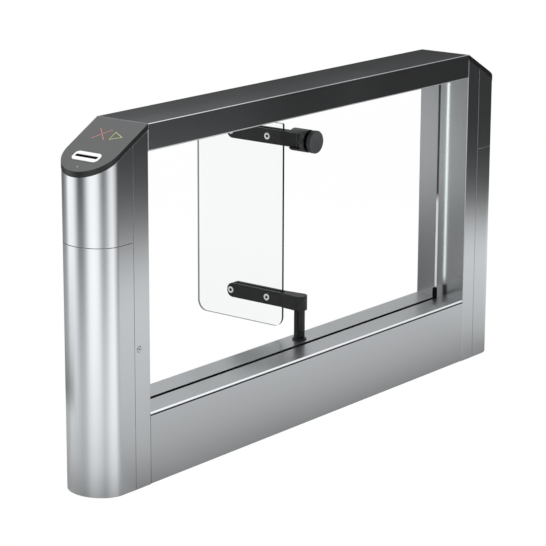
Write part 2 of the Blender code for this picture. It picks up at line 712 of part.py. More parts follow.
def make_bezel(side):
    frame = LID_FRAMES[side]
    flange = outline_plate(f"{side}_card_bezel",
                           lid_outline(FIT, BEZEL_LENGTH, BEZEL_WIDTH, READER_DOWN, BEZEL_CORNER),
                           (0, 0, BEZEL_PROUD), WHITE, frame)
    neck = outline_plate(f"{side}_bezel_neck",
                         lid_outline(-LID_THICKNESS + FIT, BEZEL_LENGTH - 2 * BEZEL_FLANGE,
                                     BEZEL_WIDTH - 2 * BEZEL_FLANGE, READER_DOWN,
                                     BEZEL_CORNER - BEZEL_FLANGE),
                         (0, 0, LID_THICKNESS + BEZEL_PROUD / 2), parent=frame)
    slot = box(f"{side}_bezel_slot",
               (READER_DOWN - CARD_SLOT_WIDTH / 2, -CARD_SLOT_LENGTH / 2, -OVERRUN),
               (READER_DOWN + CARD_SLOT_WIDTH / 2, CARD_SLOT_LENGTH / 2, OVERRUN), parent=frame)
    join(flange, neck)
    return cut(flange, slot)


def make_reader(side):
    # Its body hangs under the lid, and a light pipe rises from it to the lid's face.
    frame = LID_FRAMES[side]
    top = -LID_THICKNESS - FIT
    half_length = BEZEL_LENGTH / 2
    half_width = BEZEL_WIDTH / 2
    body = box(f"{side}_card_reader", (READER_DOWN - half_width, -half_length, top - READER_DEPTH),
               (READER_DOWN + half_width, half_length, top), BLACK, frame)
    arm = box(f"{side}_lamp_arm", (READER_DOWN, -2 * LAMP_RADIUS, top - 2 * LAMP_RADIUS),
              (LAMP_DOWN + 2 * LAMP_RADIUS, 2 * LAMP_RADIUS, top), parent=frame)
    pipe = cylinder(f"{side}_lamp_pipe", LAMP_RADIUS, top - LAMP_RADIUS, 0, (LAMP_DOWN, 0, 0),
                    parent=frame, steps=SMALL_STEPS)
    slot = box(f"{side}_reader_slot",
               (READER_DOWN - CARD_SLOT_WIDTH / 2, -CARD_SLOT_LENGTH / 2, top - READER_SLOT_DEPTH),
               (READER_DOWN + CARD_SLOT_WIDTH / 2, CARD_SLOT_LENGTH / 2, OVERRUN), parent=frame)
    relief = box(f"{side}_reader_relief",
                 (READER_DOWN + half_width / 2, -half_length - OVERRUN, -GATE_WIDTH),
                 (READER_DOWN + half_width + OVERRUN, half_length + OVERRUN,
                  top - READER_SLOT_DEPTH), parent=frame)
    join(body, arm, pipe)
    return cut(body, slot, relief)


def make_lights(side):
    low = -POCKET_DEPTH
    high = low + LENS_THICKNESS
    make_cross(side, f"{side}_cross_light", CROSS_REACH, CROSS_STROKE, low, high, RED_LENS)
    make_arrow(side, f"{side}_arrow_light", 0, low, high, GREEN_LENS)


def make_board(side):
    frame = LID_FRAMES[side]
    top = -LID_THICKNESS - FIT
    low = top - BOARD_SHEET
    board = box(f"{side}_indicator_board", (BOARD_START, -BOARD_HALF_WIDTH, low),
                (BOARD_START + BOARD_LENGTH, BOARD_HALF_WIDTH, top), BOARD_GREEN, frame)
    for index, share in enumerate((-0.6, 0.0, 0.6)):
        middle_x = BOARD_START + BOARD_LENGTH / 2
        middle_y = share * BOARD_HALF_WIDTH
        chip = box(f"{side}_chip_{index}",
                   (middle_x - CHIP_SIZE / 2, middle_y - CHIP_SIZE, low - CHIP_HEIGHT),
                   (middle_x + CHIP_SIZE / 2, middle_y + CHIP_SIZE, low + BOARD_SHEET / 2),
                   parent=frame)
        join(board, chip)
    return board


def make_unit(side, name, height, material):
    # A boxed unit on the inner wall of the column, with a raised terminal cover.
    post = POSTS[side]
    wall_x = -WINDOW_X - SKIN - FIT
    half = UNIT_WIDTH / 2
    unit = box(name, (wall_x - UNIT_DEPTH, -half, UNIT_BOTTOM),
               (wall_x, half, UNIT_BOTTOM + height), material, post)
    bevel = unit.modifiers.new("rounded_edges", 'BEVEL')
    bevel.width = UNIT_CORNER
    bevel.segments = 2
    step = box(f"{name}_terminal_step",
               (wall_x - UNIT_DEPTH - OVERRUN, -half - OVERRUN, UNIT_BOTTOM - OVERRUN),
               (wall_x - UNIT_DEPTH + UNIT_STEP, half + OVERRUN, UNIT_BOTTOM + 2 * UNIT_STEP),
               parent=post)
    return cut(unit, step)


# Beam, rail and window

def mirrored_path(half):
    # A half path on the back side, run over the middle to its mirror image on the front.
    front = [Vector((point.x, -point.y, point.z)) for point in reversed(half)]
    return half + front


def make_chassis():
    half_base = HALF_WIDTH - PANEL_FOOT_FLANGE - FIT
    end_x = WINDOW_X - FIT
    chassis = box("beam_chassis", (-end_x, -half_base, 0), (end_x, half_base, CHASSIS_SHEET), ZINC)
    places = [END_INSET - end_x, end_x - END_INSET - RIB_SHEET]
    places += [share * WINDOW_X for share in RIB_SHARES]
    for index, x in enumerate(places):
        join(chassis, make_rib(index, x))
    return chassis


def make_rib(index, x):
    side = HALF_WIDTH - SKIN - FIT
    shoulder = HALF_WIDTH - PANEL_TOP_FLANGE - FIT
    side_top = PANEL_TOP - SKIN - FIT
    top = BEAM_HEIGHT - TOP_SHEET - FIT
    notch = SEAL_HALF + FIT
    notch_bottom = BEAM_SEAL_BOTTOM - FIT
    foot = HALF_WIDTH - PANEL_FOOT_FLANGE - SKIN
    side_bottom = FOOT_GAP + SKIN + FIT
    half = [(foot, CHASSIS_SHEET / 2), (foot, side_bottom), (side, side_bottom), (side, side_top),
            (shoulder, side_top), (shoulder, top), (notch, top), (notch, notch_bottom)]
    half_points = [Vector((x, y, z)) for y, z in half]
    rib = outline_plate(f"rib_{index}", mirrored_path(half_points), (RIB_SHEET, 0, 0))
    hole = box(f"rib_hole_{index}", (x - OVERRUN, -RIB_HOLE_WIDTH / 2, RIB_HOLE_RISE),
               (x + OVERRUN, RIB_HOLE_WIDTH / 2, RIB_HOLE_RISE + RIB_HOLE_HEIGHT))
    return cut(rib, hole)


def make_side_panel(name, side):
    start_x = -WINDOW_X + FIT
    points = [(HALF_WIDTH - PANEL_FOOT_FLANGE, FOOT_GAP), (HALF_WIDTH, FOOT_GAP),
              (HALF_WIDTH, PANEL_TOP), (HALF_WIDTH - PANEL_TOP_FLANGE, PANEL_TOP)]
    if side < 0:
        points.reverse()
    path = [Vector((start_x, side * y, z)) for y, z in points]
    return folded_sheet(name, path, (2 * (WINDOW_X - FIT), 0, 0), SKIN, STEEL)


def make_beam_top():
    start_x = -WINDOW_X + FIT
    bend = (start_x, HALF_WIDTH - LIP_RADIUS, BEAM_HEIGHT - LIP_RADIUS)
    half = [Vector((start_x, HALF_WIDTH, BEAM_HEIGHT - LIP_DROP))]
    half += arc(bend, LIP_RADIUS, 0, math.pi / 2, BEND_STEPS + 1, 'YZ')
    top = folded_sheet("beam_top", mirrored_path(half), (2 * (WINDOW_X - FIT), 0, 0), TOP_SHEET,
                       STEEL)
    slot_x = SEAL_X + FIT
    slot = box("beam_seal_slot", (-slot_x, -SEAL_HALF - FIT, BEAM_HEIGHT - OVERRUN),
               (slot_x, SEAL_HALF + FIT, BEAM_HEIGHT + OVERRUN))
    hole = cylinder("beam_shaft_hole", SHAFT_RADIUS + RUNNING_GAP, BEAM_HEIGHT - OVERRUN,
                    BEAM_HEIGHT + OVERRUN, (PIVOT_X, PIVOT_Y, 0))
    return cut(top, slot, hole)


def make_rail():
    # One folded section, open along the middle of its underside for the pane's seal.
    start_x = -WINDOW_X + FIT
    top_bend = (start_x, HALF_WIDTH - RAIL_BEND, GATE_HEIGHT - RAIL_BEND)
    low_bend = (start_x, HALF_WIDTH - RAIL_BEND, RAIL_BOTTOM + RAIL_BEND)
    half = [Vector((start_x, SEAL_HALF + FIT, RAIL_BOTTOM))]
    half += arc(low_bend, RAIL_BEND, -math.pi / 2, 0, BEND_STEPS, 'YZ')
    half += arc(top_bend, RAIL_BEND, 0, math.pi / 2, BEND_STEPS, 'YZ')
    rail = folded_sheet("top_rail", mirrored_path(half), (2 * (WINDOW_X - FIT), 0, 0), RAIL_SHEET,
                        DARK_STEEL)
    inside = HALF_WIDTH - RAIL_SHEET / 2
    end_x = start_x + END_INSET
    for name, x in (("near", end_x), ("far", -end_x - RAIL_SHEET)):
        join(rail, box(f"{name}_rail_end", (x, -inside, RAIL_SEAL_TOP + FIT),
                       (x + RAIL_SHEET, inside, GATE_HEIGHT - RAIL_SHEET / 2)))
    return rail


def make_seal(name, edge_z, mouth_z, groove_z):
    # A U-section rubber that grips the pane's edge.
    low = min(edge_z, mouth_z)
    high = max(edge_z, mouth_z)
    seal = box(name, (-SEAL_X, -SEAL_HALF, low), (SEAL_X, SEAL_HALF, high), RUBBER)
    groove_half = PANE_THICKNESS / 2 + FIT
    beyond = mouth_z + (OVERRUN if mouth_z > edge_z else -OVERRUN)
    groove = box(f"{name}_groove", (-SEAL_X - OVERRUN, -groove_half, min(groove_z, beyond)),
                 (SEAL_X + OVERRUN, groove_half, max(groove_z, beyond)))
    return cut(seal, groove)


def make_pane():
    low = BEAM_SEAL_BOTTOM + SEAL_FLOOR + FIT
    high = RAIL_SEAL_TOP - SEAL_FLOOR - FIT
    pane = box("window_pane", (-PANE_X, -PANE_THICKNESS / 2, low),
               (PANE_X, PANE_THICKNESS / 2, high), GLASS)
    hole = cylinder("pane_hole", SLEEVE_RADIUS + FIT, -OVERRUN, OVERRUN,
                    (PIVOT_X, 0, UPPER_ARM_HEIGHT), 'Y')
    return cut(pane, hole)


def make_pane_clip(side, post):
    low = BEAM_HEIGHT + SEAL_PROUD + FIT
    groove_half = PANE_THICKNESS / 2 + FIT
    clip = box(f"{side}_pane_clip", (-PANE_X - CLIP_WALL, -groove_half - CLIP_WALL, low),
               (-PANE_X + CLIP_GRIP, groove_half + CLIP_WALL, low + CLIP_HEIGHT), BLACK, post)
    groove = box(f"{side}_clip_groove", (-PANE_X - FIT, -groove_half, low - OVERRUN),
                 (-PANE_X + OVERRUN, groove_half, low + CLIP_HEIGHT + OVERRUN), parent=post)
    return cut(clip, groove)


# Upper pivot housing, fixed through the pane

def make_hub():
    centre = (PIVOT_X, 0, UPPER_ARM_HEIGHT)
    profile = [(0, HUB_BACK_Y), (HUB_RADIUS - HUB_SHOULDER_DROP, HUB_BACK_Y),
               (HUB_RADIUS, HUB_BACK_Y - HUB_SHOULDER), (HUB_RADIUS, HUB_FRONT_Y), (0, HUB_FRONT_Y)]
    hub = turned("hub_housing", profile, centre, 'Y', BLACK)
    half_slot = ARM_DEPTH / 2 + HUB_SLOT_CLEARANCE
    slot = box("hub_slot", (PIVOT_X - HUB_RADIUS - OVERRUN, HUB_SLOT_Y, UPPER_ARM_HEIGHT - half_slot),
               (PIVOT_X + HUB_RADIUS + OVERRUN, HUB_BACK_Y + OVERRUN, UPPER_ARM_HEIGHT + half_slot))
    half_pin = ARM_DEPTH / 2 + TRUNNION_LENGTH + HUB_SLOT_CLEARANCE
    pin_hole = cylinder("hub_pin_hole", TRUNNION_RADIUS + FIT, UPPER_ARM_HEIGHT - half_pin,
                        UPPER_ARM_HEIGHT + half_pin, (PIVOT_X, PIVOT_Y, 0), steps=SMALL_STEPS)
    bolt_hole = cylinder("hub_bolt_hole", CAP_BOLT_RADIUS + FIT, -OVERRUN,
                         HUB_FRONT_Y + CAP_BOLT_GRIP, centre, 'Y', steps=SMALL_STEPS)
    return cut(hub, slot, pin_hole, bolt_hole)


def make_hub_gasket():
    # Two washers and the sleeve between them, around the edge of the hole in the pane.
    face = PANE_THICKNESS / 2 + FIT
    outside = face + WASHER_THICKNESS - FIT
    sleeve = SLEEVE_RADIUS
    bore = CAP_BOLT_RADIUS + FIT
    profile = [(WASHER_RADIUS, outside), (WASHER_RADIUS, face), (sleeve, face), (sleeve, -face),
               (WASHER_RADIUS, -face), (WASHER_RADIUS, -outside), (bore, -outside), (bore, outside)]
    return turned("hub_gasket", profile, (PIVOT_X, 0, UPPER_ARM_HEIGHT), 'Y', RUBBER, bored=True)


def make_hub_cap():
    front = CAP_BACK_Y - CAP_THICKNESS
    bolt_end = HUB_FRONT_Y + CAP_BOLT_GRIP - FIT
    profile = [(0, bolt_end), (CAP_BOLT_RADIUS, bolt_end), (CAP_BOLT_RADIUS, CAP_BACK_Y),
               (HUB_RADIUS, CAP_BACK_Y), (HUB_RADIUS, front + CAP_CHAMFER),
               (HUB_RADIUS - CAP_CHAMFER, front), (0, front)]
    return turned("hub_cap", profile, (PIVOT_X, 0, UPPER_ARM_HEIGHT), 'Y', BLACK)


# Leaf: everything here turns about the shaft's axis

LEAF = make_empty("leaf_axis", (PIVOT_X, PIVOT_Y, 0))
# Each arm is shaped round its own middle height
ARM_FRAMES = {"lower": make_empty("lower_arm_frame", (PIVOT_X, PIVOT_Y, LOWER_ARM_HEIGHT)),
              "upper": make_empty("upper_arm_frame", (PIVOT_X, PIVOT_Y, UPPER_ARM_HEIGHT))}


def make_shaft():
    top = LOWER_ARM_HEIGHT - ARM_DEPTH / 2 - FIT
    spigot = [(0, top + SPIGOT_LENGTH), (SPIGOT_RADIUS, top + SPIGOT_LENGTH),
              (SPIGOT_RADIUS, top), (SHAFT_RADIUS, top), (SHAFT_RADIUS, PULLEY_TOP)]
    foot = [(SHAFT_RADIUS, PULLEY_BOTTOM), (SHAFT_RADIUS, SHAFT_FOOT), (0, SHAFT_FOOT)]
    profile = spigot + pulley_rim(LEAF_PULLEY_RADIUS) + foot
    return turned("leaf_shaft", profile, (0, 0, 0), material=BLACK, parent=LEAF)


def pulley_rim(radius):
    rim = radius + PULLEY_FLANGE
    upper = PULLEY_TOP - PULLEY_FLANGE_SHEET
    lower = PULLEY_BOTTOM + PULLEY_FLANGE_SHEET
    return [(rim, PULLEY_TOP), (rim, upper), (radius, upper), (radius, lower), (rim, lower),
            (rim, PULLEY_BOTTOM)]


def make_neck(arm, half_start):
    # The tapering neck of an arm, from the pivot to the clamp.
    low = -ARM_DEPTH / 2
    half_end = ARM_WIDTH / 2
    outline = [Vector((-half_start, 0, low)), Vector((half_start, 0, low)),
               Vector((half_end, ARM_NECK_END, low)), Vector((-half_end, ARM_NECK_END, low))]
    return outline_plate(f"{arm}_neck", outline, (0, 0, ARM_DEPTH), parent=ARM_FRAMES[arm])


def cheek_outline(x, start):
    # The side of a clamping cheek: square at the neck, rounded at the tip.
    half = ARM_DEPTH / 2
    round_y = ARM_REACH - ARM_CORNER
    points = [Vector((x, start, -half))]
    points += arc((x, round_y, ARM_CORNER - half), ARM_CORNER, -math.pi / 2, 0, CORNER_STEPS, 'YZ')
    points += arc((x, round_y, half - ARM_CORNER), ARM_CORNER, 0, math.pi / 2, CORNER_STEPS, 'YZ')
    points.append(Vector((x, start, half)))
    return points


def make_cheek(arm, name, side, start, material=None):
    width = ARM_WIDTH / 2 - CHEEK_INNER
    return outline_plate(name, cheek_outline(side * CHEEK_INNER, start), (side * width, 0, 0),
                         material, ARM_FRAMES[arm])


def screw_holes(arm, name):
    # The shank's hole with a sunk seat for the head on both faces.
    head = SCREW_HEAD_RADIUS + FIT
    shank = SCREW_RADIUS + FIT
    seat = ARM_WIDTH / 2 - SCREW_SINK
    profile = [(0, ARM_WIDTH), (head, ARM_WIDTH), (head, seat), (shank, seat), (shank, -seat),
               (head, -seat), (head, -ARM_WIDTH), (0, -ARM_WIDTH)]
    return [turned(f"{name}_hole_{index}", profile, (0, reach, 0), 'X', parent=ARM_FRAMES[arm],
                   steps=SCREW_STEPS) for index, reach in enumerate(SCREW_REACHES)]


def make_lower_arm():
    frame = ARM_FRAMES["lower"]
    low = -ARM_DEPTH / 2
    high = ARM_DEPTH / 2
    profile = [(0, high), (BARREL_RADIUS - BARREL_CHAMFER, high), (BARREL_RADIUS, high - BARREL_CHAMFER),
               (BARREL_RADIUS, low + BARREL_CHAMFER), (BARREL_RADIUS - BARREL_CHAMFER, low), (0, low)]
    arm = turned("lower_arm", profile, (0, 0, 0), material=BLACK, parent=frame)
    neck = make_neck("lower", ARM_WIDTH / 2 + NECK_TAPER)
    cheek = make_cheek("lower", "lower_fixed_cheek", 1, ARM_NECK_END - FIT)
    bore = cylinder("lower_arm_bore", SPIGOT_RADIUS + FIT, low - OVERRUN, low + SPIGOT_LENGTH,
                    (0, 0, 0), parent=frame)
    join(arm, neck, cheek)
    return cut(arm, bore, *screw_holes("lower", "lower_arm"))


def make_upper_arm():
    frame = ARM_FRAMES["upper"]
    low = -ARM_DEPTH / 2
    high = ARM_DEPTH / 2
    profile = [(0, high + TRUNNION_LENGTH), (TRUNNION_RADIUS, high + TRUNNION_LENGTH),
               (TRUNNION_RADIUS, high), (KNUCKLE_RADIUS, high), (KNUCKLE_RADIUS, low),
               (TRUNNION_RADIUS, low), (TRUNNION_RADIUS, low - TRUNNION_LENGTH),
               (0, low - TRUNNION_LENGTH)]
    arm = turned("upper_arm", profile, (0, 0, 0), material=BLACK, parent=frame)
    neck = make_neck("upper", ARM_WIDTH / 2 - KNUCKLE_NECK_TAPER)
    cheek = make_cheek("upper", "upper_fixed_cheek", 1, ARM_NECK_END - FIT)
    join(arm, neck, cheek)
    return cut(arm, *screw_holes("upper", "upper_arm"))


def make_clamp_plate(arm):
    name = f"{arm}_clamp_plate"
    plate = make_cheek(arm, name, -1, CHEEK_START, BLACK)
    return cut(plate, *screw_holes(arm, name))


def make_clamp_pad(arm):
    # A folded rubber strip round the glass's edge, held between the cheeks.
    name = f"{arm}_clamp_pad"
    frame = ARM_FRAMES[arm]
    half_height = ARM_DEPTH / 2 - PAD_INSET
    outer = LEAF_THICKNESS / 2 + FIT + CLAMP_PAD
    inner = LEAF_THICKNESS / 2 + FIT
    end = ARM_REACH - ARM_CORNER
    pad = box(name, (-outer, LEAF_START - FIT - CLAMP_PAD, -half_height),
              (outer, end, half_height), RUBBER, frame)
    groove = box(f"{name}_groove", (-inner, LEAF_START - FIT, -ARM_DEPTH),
                 (inner, end + OVERRUN, ARM_DEPTH), parent=frame)
    cut(pad, groove)
    for index, reach in enumerate(SCREW_REACHES):
        cut(pad, cylinder(f"{name}_hole_{index}", SCREW_RADIUS + FIT, -ARM_WIDTH, ARM_WIDTH,
                          (0, reach, 0), 'X', parent=frame, steps=SMALL_STEPS))
    return pad


def make_clamp_screws(arm):
    seat = ARM_WIDTH / 2 - SCREW_SINK + FIT
    top = seat + SCREW_HEAD
    socket = top - SCREW_SINK
    profile = [(0, socket), (SOCKET_RADIUS, socket), (SOCKET_RADIUS, top), (SCREW_HEAD_RADIUS, top),
               (SCREW_HEAD_RADIUS, seat), (SCREW_RADIUS, seat), (SCREW_RADIUS, -seat),
               (SCREW_HEAD_RADIUS, -seat), (SCREW_HEAD_RADIUS, -top), (SOCKET_RADIUS, -top),
               (SOCKET_RADIUS, -socket), (0, -socket)]
    for place, reach in zip(("inner", "outer"), SCREW_REACHES):
        turned(f"{arm}_{place}_screw", profile, (0, reach, 0), 'X', BRIGHT_STEEL,
               ARM_FRAMES[arm], steps=SCREW_STEPS)


def make_leaf_glass():
    half_length = (LEAF_REACH - LEAF_START) / 2
    half_height = (LEAF_TOP - LEAF_BOTTOM) / 2
    middle = Vector((-LEAF_THICKNESS / 2, LEAF_START + half_length, LEAF_BOTTOM + half_height))
    flat = rounded_rectangle(half_length, half_height, LEAF_CORNER, 0)
    outline = [middle + Vector((0, point.x, point.y)) for point in flat]
    glass = outline_plate("leaf_glass", outline, (LEAF_THICKNESS, 0, 0), GLASS, LEAF)
    for arm, height in (("lower", LOWER_ARM_HEIGHT), ("upper", UPPER_ARM_HEIGHT)):
        for index, reach in enumerate(SCREW_REACHES):
            hole = cylinder(f"glass_{arm}_hole_{index}", SCREW_RADIUS + FIT, -ARM_WIDTH, ARM_WIDTH,
                            (0, reach, height), 'X', parent=LEAF, steps=SMALL_STEPS)
            cut(glass, hole)
    return glass


# Drive inside the beam

def make_shaft_ring():
    low = BEAM_HEIGHT + FIT
    high = low + RING_HEIGHT
    bore = SHAFT_RADIUS + RUNNING_GAP
    profile = [(RING_RADIUS - RING_CHAMFER, high), (RING_RADIUS, high - RING_CHAMFER),
               (RING_RADIUS, low), (bore, low), (bore, high)]
    return turned("shaft_ring", profile, (PIVOT_X, PIVOT_Y, 0), material=BLACK, bored=True)


def make_bearing(name, shelf_top):
    low = shelf_top + FIT
    flange_top = low + BEARING_FLANGE
    bore = SHAFT_RADIUS + RUNNING_GAP
    profile = [(BEARING_FLANGE_RADIUS, flange_top), (BEARING_FLANGE_RADIUS, low),
               (BEARING_RADIUS, low), (BEARING_RADIUS, flange_top - BEARING_HEIGHT),
               (bore, flange_top - BEARING_HEIGHT), (bore, flange_top)]
    return turned(name, profile, (PIVOT_X, PIVOT_Y, 0), material=BRIGHT_STEEL, bored=True)


def make_drive_bracket():
    left = PIVOT_X - DRIVE_MARGIN
    right = MOTOR_X + DRIVE_MARGIN
    web_front = DRIVE_WEB_Y - BRACKET_PLATE
    bottom = CHASSIS_SHEET + FIT
    web = box("drive_bracket", (left, web_front, bottom), (right, DRIVE_WEB_Y, UPPER_SHELF_HEIGHT),
              ZINC)
    foot_y = HALF_WIDTH - PANEL_FOOT_FLANGE - DRIVE_MARGIN
    foot = box("drive_foot", (left, foot_y, bottom), (right, web_front + MM, bottom + BRACKET_PLATE))
    lower = box("drive_lower_shelf", (left, DRIVE_FRONT_Y, LOWER_SHELF_HEIGHT - BRACKET_PLATE),
                (right, web_front + MM, LOWER_SHELF_HEIGHT))
    upper = box("drive_upper_shelf", (left, DRIVE_FRONT_Y, UPPER_SHELF_HEIGHT - BRACKET_PLATE),
                (right - DRIVE_MARGIN, web_front + MM, UPPER_SHELF_HEIGHT))
    seats = cylinder("bearing_seats", BEARING_RADIUS + FIT, SHAFT_FOOT - OVERRUN, BEAM_HEIGHT,
                     (PIVOT_X, PIVOT_Y, 0))
    join(web, foot, lower, upper)
    return cut(web, seats)


def make_gearmotor():
    low = LOWER_SHELF_HEIGHT + FIT
    profile = [(0, MOTOR_TOP), (MOTOR_RADIUS, MOTOR_TOP), (MOTOR_RADIUS, MOTOR_CAN_TOP),
               (MOTOR_RADIUS - MOTOR_STEP, MOTOR_CAN_TOP), (MOTOR_RADIUS - MOTOR_STEP, low), (0, low)]
    motor = turned("gearmotor", profile, (MOTOR_X, PIVOT_Y, 0), material=GREY_BOX)
    terminal = box("motor_terminal_box",
                   (MOTOR_X + MOTOR_RADIUS - 2 * MOTOR_STEP, PIVOT_Y - TERMINAL_BOX / 2, low + MOTOR_STEP),
                   (MOTOR_X + MOTOR_RADIUS + TERMINAL_BOX / 2, PIVOT_Y + TERMINAL_BOX / 2,
                    low + MOTOR_STEP + TERMINAL_BOX))
    bore = cylinder("motor_shaft_bore", MOTOR_SHAFT_RADIUS + FIT, MOTOR_TOP - MOTOR_STEP, MOTOR_TOP + OVERRUN,
                    (MOTOR_X, PIVOT_Y, 0), steps=SMALL_STEPS)
    join(motor, terminal)
    return cut(motor, bore)


def make_motor_pulley():
    # The pulley with the motor's output shaft; its origin is on the motor's axis.
    axis = make_empty("motor_axis", (MOTOR_X, PIVOT_Y, 0))
    shaft_low = MOTOR_TOP + FIT - MOTOR_STEP
    foot = [(MOTOR_SHAFT_RADIUS, PULLEY_BOTTOM), (MOTOR_SHAFT_RADIUS, shaft_low), (0, shaft_low)]
    profile = [(0, PULLEY_TOP)] + pulley_rim(MOTOR_PULLEY_RADIUS) + foot
    return turned("motor_pulley", profile, (0, 0, 0), material=ZINC, parent=axis)


def make_belt():
    # Two arcs round the pulleys and the straight runs that touch both.
    leaf_radius = LEAF_PULLEY_RADIUS + RUNNING_GAP
    motor_radius = MOTOR_PULLEY_RADIUS + RUNNING_GAP
    lean = math.acos((leaf_radius - motor_radius) / BELT_CENTRES)
    low = PULLEY_BOTTOM + PULLEY_FLANGE_SHEET + RUNNING_GAP
    rings = []
    for thickness in (0, BELT_THICKNESS):
        points = arc((PIVOT_X, PIVOT_Y, low), leaf_radius + thickness, lean, math.tau - lean,
                     END_STEPS)
        points += arc((MOTOR_X, PIVOT_Y, low), motor_radius + thickness, -lean, lean, END_STEPS // 2)
        rings.append(points)
    bm = bmesh.new()
    inner = [bm.verts.new(point) for point in rings[0]]
    outer = [bm.verts.new(point) for point in rings[1]]
    edges = []
    for ring in (inner, outer):
        for first, second in zip(ring, ring[1:] + ring[:1]):
            edges.append(bm.edges.new((first, second)))
    bmesh.ops.bridge_loops(bm, edges=edges)
    swept = bmesh.ops.extrude_face_region(bm, geom=bm.faces[:], use_keep_orig=True)
    verts = [part for part in swept["geom"] if isinstance(part, bmesh.types.BMVert)]
    bmesh.ops.translate(bm, vec=(0, 0, BELT_WIDTH), verts=verts)
    bmesh.ops.recalc_face_normals(bm, faces=bm.faces)
    return object_from(bm, "drive_belt", RUBBER)


def build_posts():
    for side in POSTS:
        make_column(side)
        make_upper_cover(side)
        make_door(side)
        make_keeper(side)
        make_shelf(side)
        make_base_plate(side)
        make_lock(side)
        make_lid(side)
        make_bezel(side)
        make_reader(side)
        make_lights(side)
        make_board(side)
    make_unit("near", "controller_box", CONTROLLER_HEIGHT, GREY_BOX)
    make_unit("far", "power_supply", SUPPLY_HEIGHT, ZINC)


def build_body():
    make_chassis()
    make_side_panel("beam_front_panel", -1)
    make_side_panel("beam_back_panel", 1)
    make_beam_top()
    make_rail()
    make_seal("beam_seal", BEAM_SEAL_BOTTOM, BEAM_HEIGHT + SEAL_PROUD,
              BEAM_SEAL_BOTTOM + SEAL_FLOOR)
    make_seal("rail_seal", RAIL_SEAL_TOP, RAIL_BOTTOM, RAIL_SEAL_TOP - SEAL_FLOOR)
    make_pane()
    for side, post in POSTS.items():
        make_pane_clip(side, post)
    make_hub()
    make_hub_gasket()
    make_hub_cap()


def build_leaf_and_drive():
    make_shaft()
    make_lower_arm()
    make_upper_arm()
    for arm in ARM_FRAMES:
        make_clamp_plate(arm)
        make_clamp_pad(arm)
        make_clamp_screws(arm)
    make_leaf_glass()
    make_shaft_ring()
    make_bearing("lower_bearing", LOWER_SHELF_HEIGHT)
    make_bearing("upper_bearing", UPPER_SHELF_HEIGHT)
    make_drive_bracket()
    make_gearmotor()
    make_motor_pulley()
    make_belt()


build_posts()
build_body()
build_leaf_and_drive()
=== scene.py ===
# Swing barrier gate: brushed steel posts, dark sloping lids, a glazed window and a glass leaf.
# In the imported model's own frame: the floor is z = 0, +X runs along the gate. Shapes are given
# in millimetres. Places, meshes and shaders are in metres.

import math

import bmesh
import bpy
from mathutils import Matrix, Vector


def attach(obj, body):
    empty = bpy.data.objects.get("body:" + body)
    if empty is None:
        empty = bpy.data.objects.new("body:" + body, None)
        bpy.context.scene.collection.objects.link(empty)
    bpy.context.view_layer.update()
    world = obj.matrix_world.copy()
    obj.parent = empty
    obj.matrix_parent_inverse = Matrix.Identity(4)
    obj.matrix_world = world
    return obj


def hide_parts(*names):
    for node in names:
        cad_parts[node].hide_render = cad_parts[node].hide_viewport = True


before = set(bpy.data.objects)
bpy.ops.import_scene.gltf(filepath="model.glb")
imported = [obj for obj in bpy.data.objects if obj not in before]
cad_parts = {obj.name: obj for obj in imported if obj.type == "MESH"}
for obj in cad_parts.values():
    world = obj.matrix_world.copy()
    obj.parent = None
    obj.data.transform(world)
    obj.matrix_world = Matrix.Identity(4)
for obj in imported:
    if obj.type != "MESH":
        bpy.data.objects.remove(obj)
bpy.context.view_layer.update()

MM = 0.001

# Sizes of the gate in millimetres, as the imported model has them
HALF_WIDTH = 90
WINDOW_X = 758
SEAM_X = 820
CURVE_X = 875
END_CURVE = 75
GATE_TOP = 1000
BEAM_TOP = 205
RAIL_LOW = 925
COVER_SPLIT = 690
SKIN = 2
SHEET = 2.5
SEAM = 1.5
FIT = 0.3
FOOT_GAP = 1.5
LID_SLOPE = math.radians(29)
LID_EDGE = 16
LID_OVERHANG = 2.5
LOCK_RADIUS = 9
COLLAR_BORE = 16.9
SCREW_BORE = 5.3
LOWER_ARM = 321
UPPER_ARM = 817
PULLEY_LOW = 142
PULLEY_HIGH = PULLEY_LOW + 20.8

# Places, in metres
HINGE = Vector((-850, 83, 0)) * MM
LOCK = Vector((-802, -90, 394)) * MM
PIVOT = Vector((67, 40, 0)) * MM
HALF_TURN = Matrix.Rotation(math.pi, 4, 'Z')

GATE = "gate_body"
LEAF = "leaf"


# Shader maths

class Value:
    """A number worked out by the shader, so that sums on it add Math nodes."""

    def __init__(self, shader, socket):
        self.shader = shader
        self.socket = socket

    def __add__(self, other):
        return self.shader.sum_of('ADD', self, other)

    def __radd__(self, other):
        return self.shader.sum_of('ADD', other, self)

    def __sub__(self, other):
        return self.shader.sum_of('SUBTRACT', self, other)

    def __rsub__(self, other):
        return self.shader.sum_of('SUBTRACT', other, self)

    def __mul__(self, other):
        return self.shader.sum_of('MULTIPLY', self, other)

    def __truediv__(self, other):
        return self.shader.sum_of('DIVIDE', self, other)

    def __pow__(self, other):
        return self.shader.sum_of('POWER', self, other)

    def __gt__(self, other):
        return self.shader.sum_of('GREATER_THAN', self, other)

    def __abs__(self):
        return self.shader.sum_of('ABSOLUTE', self)


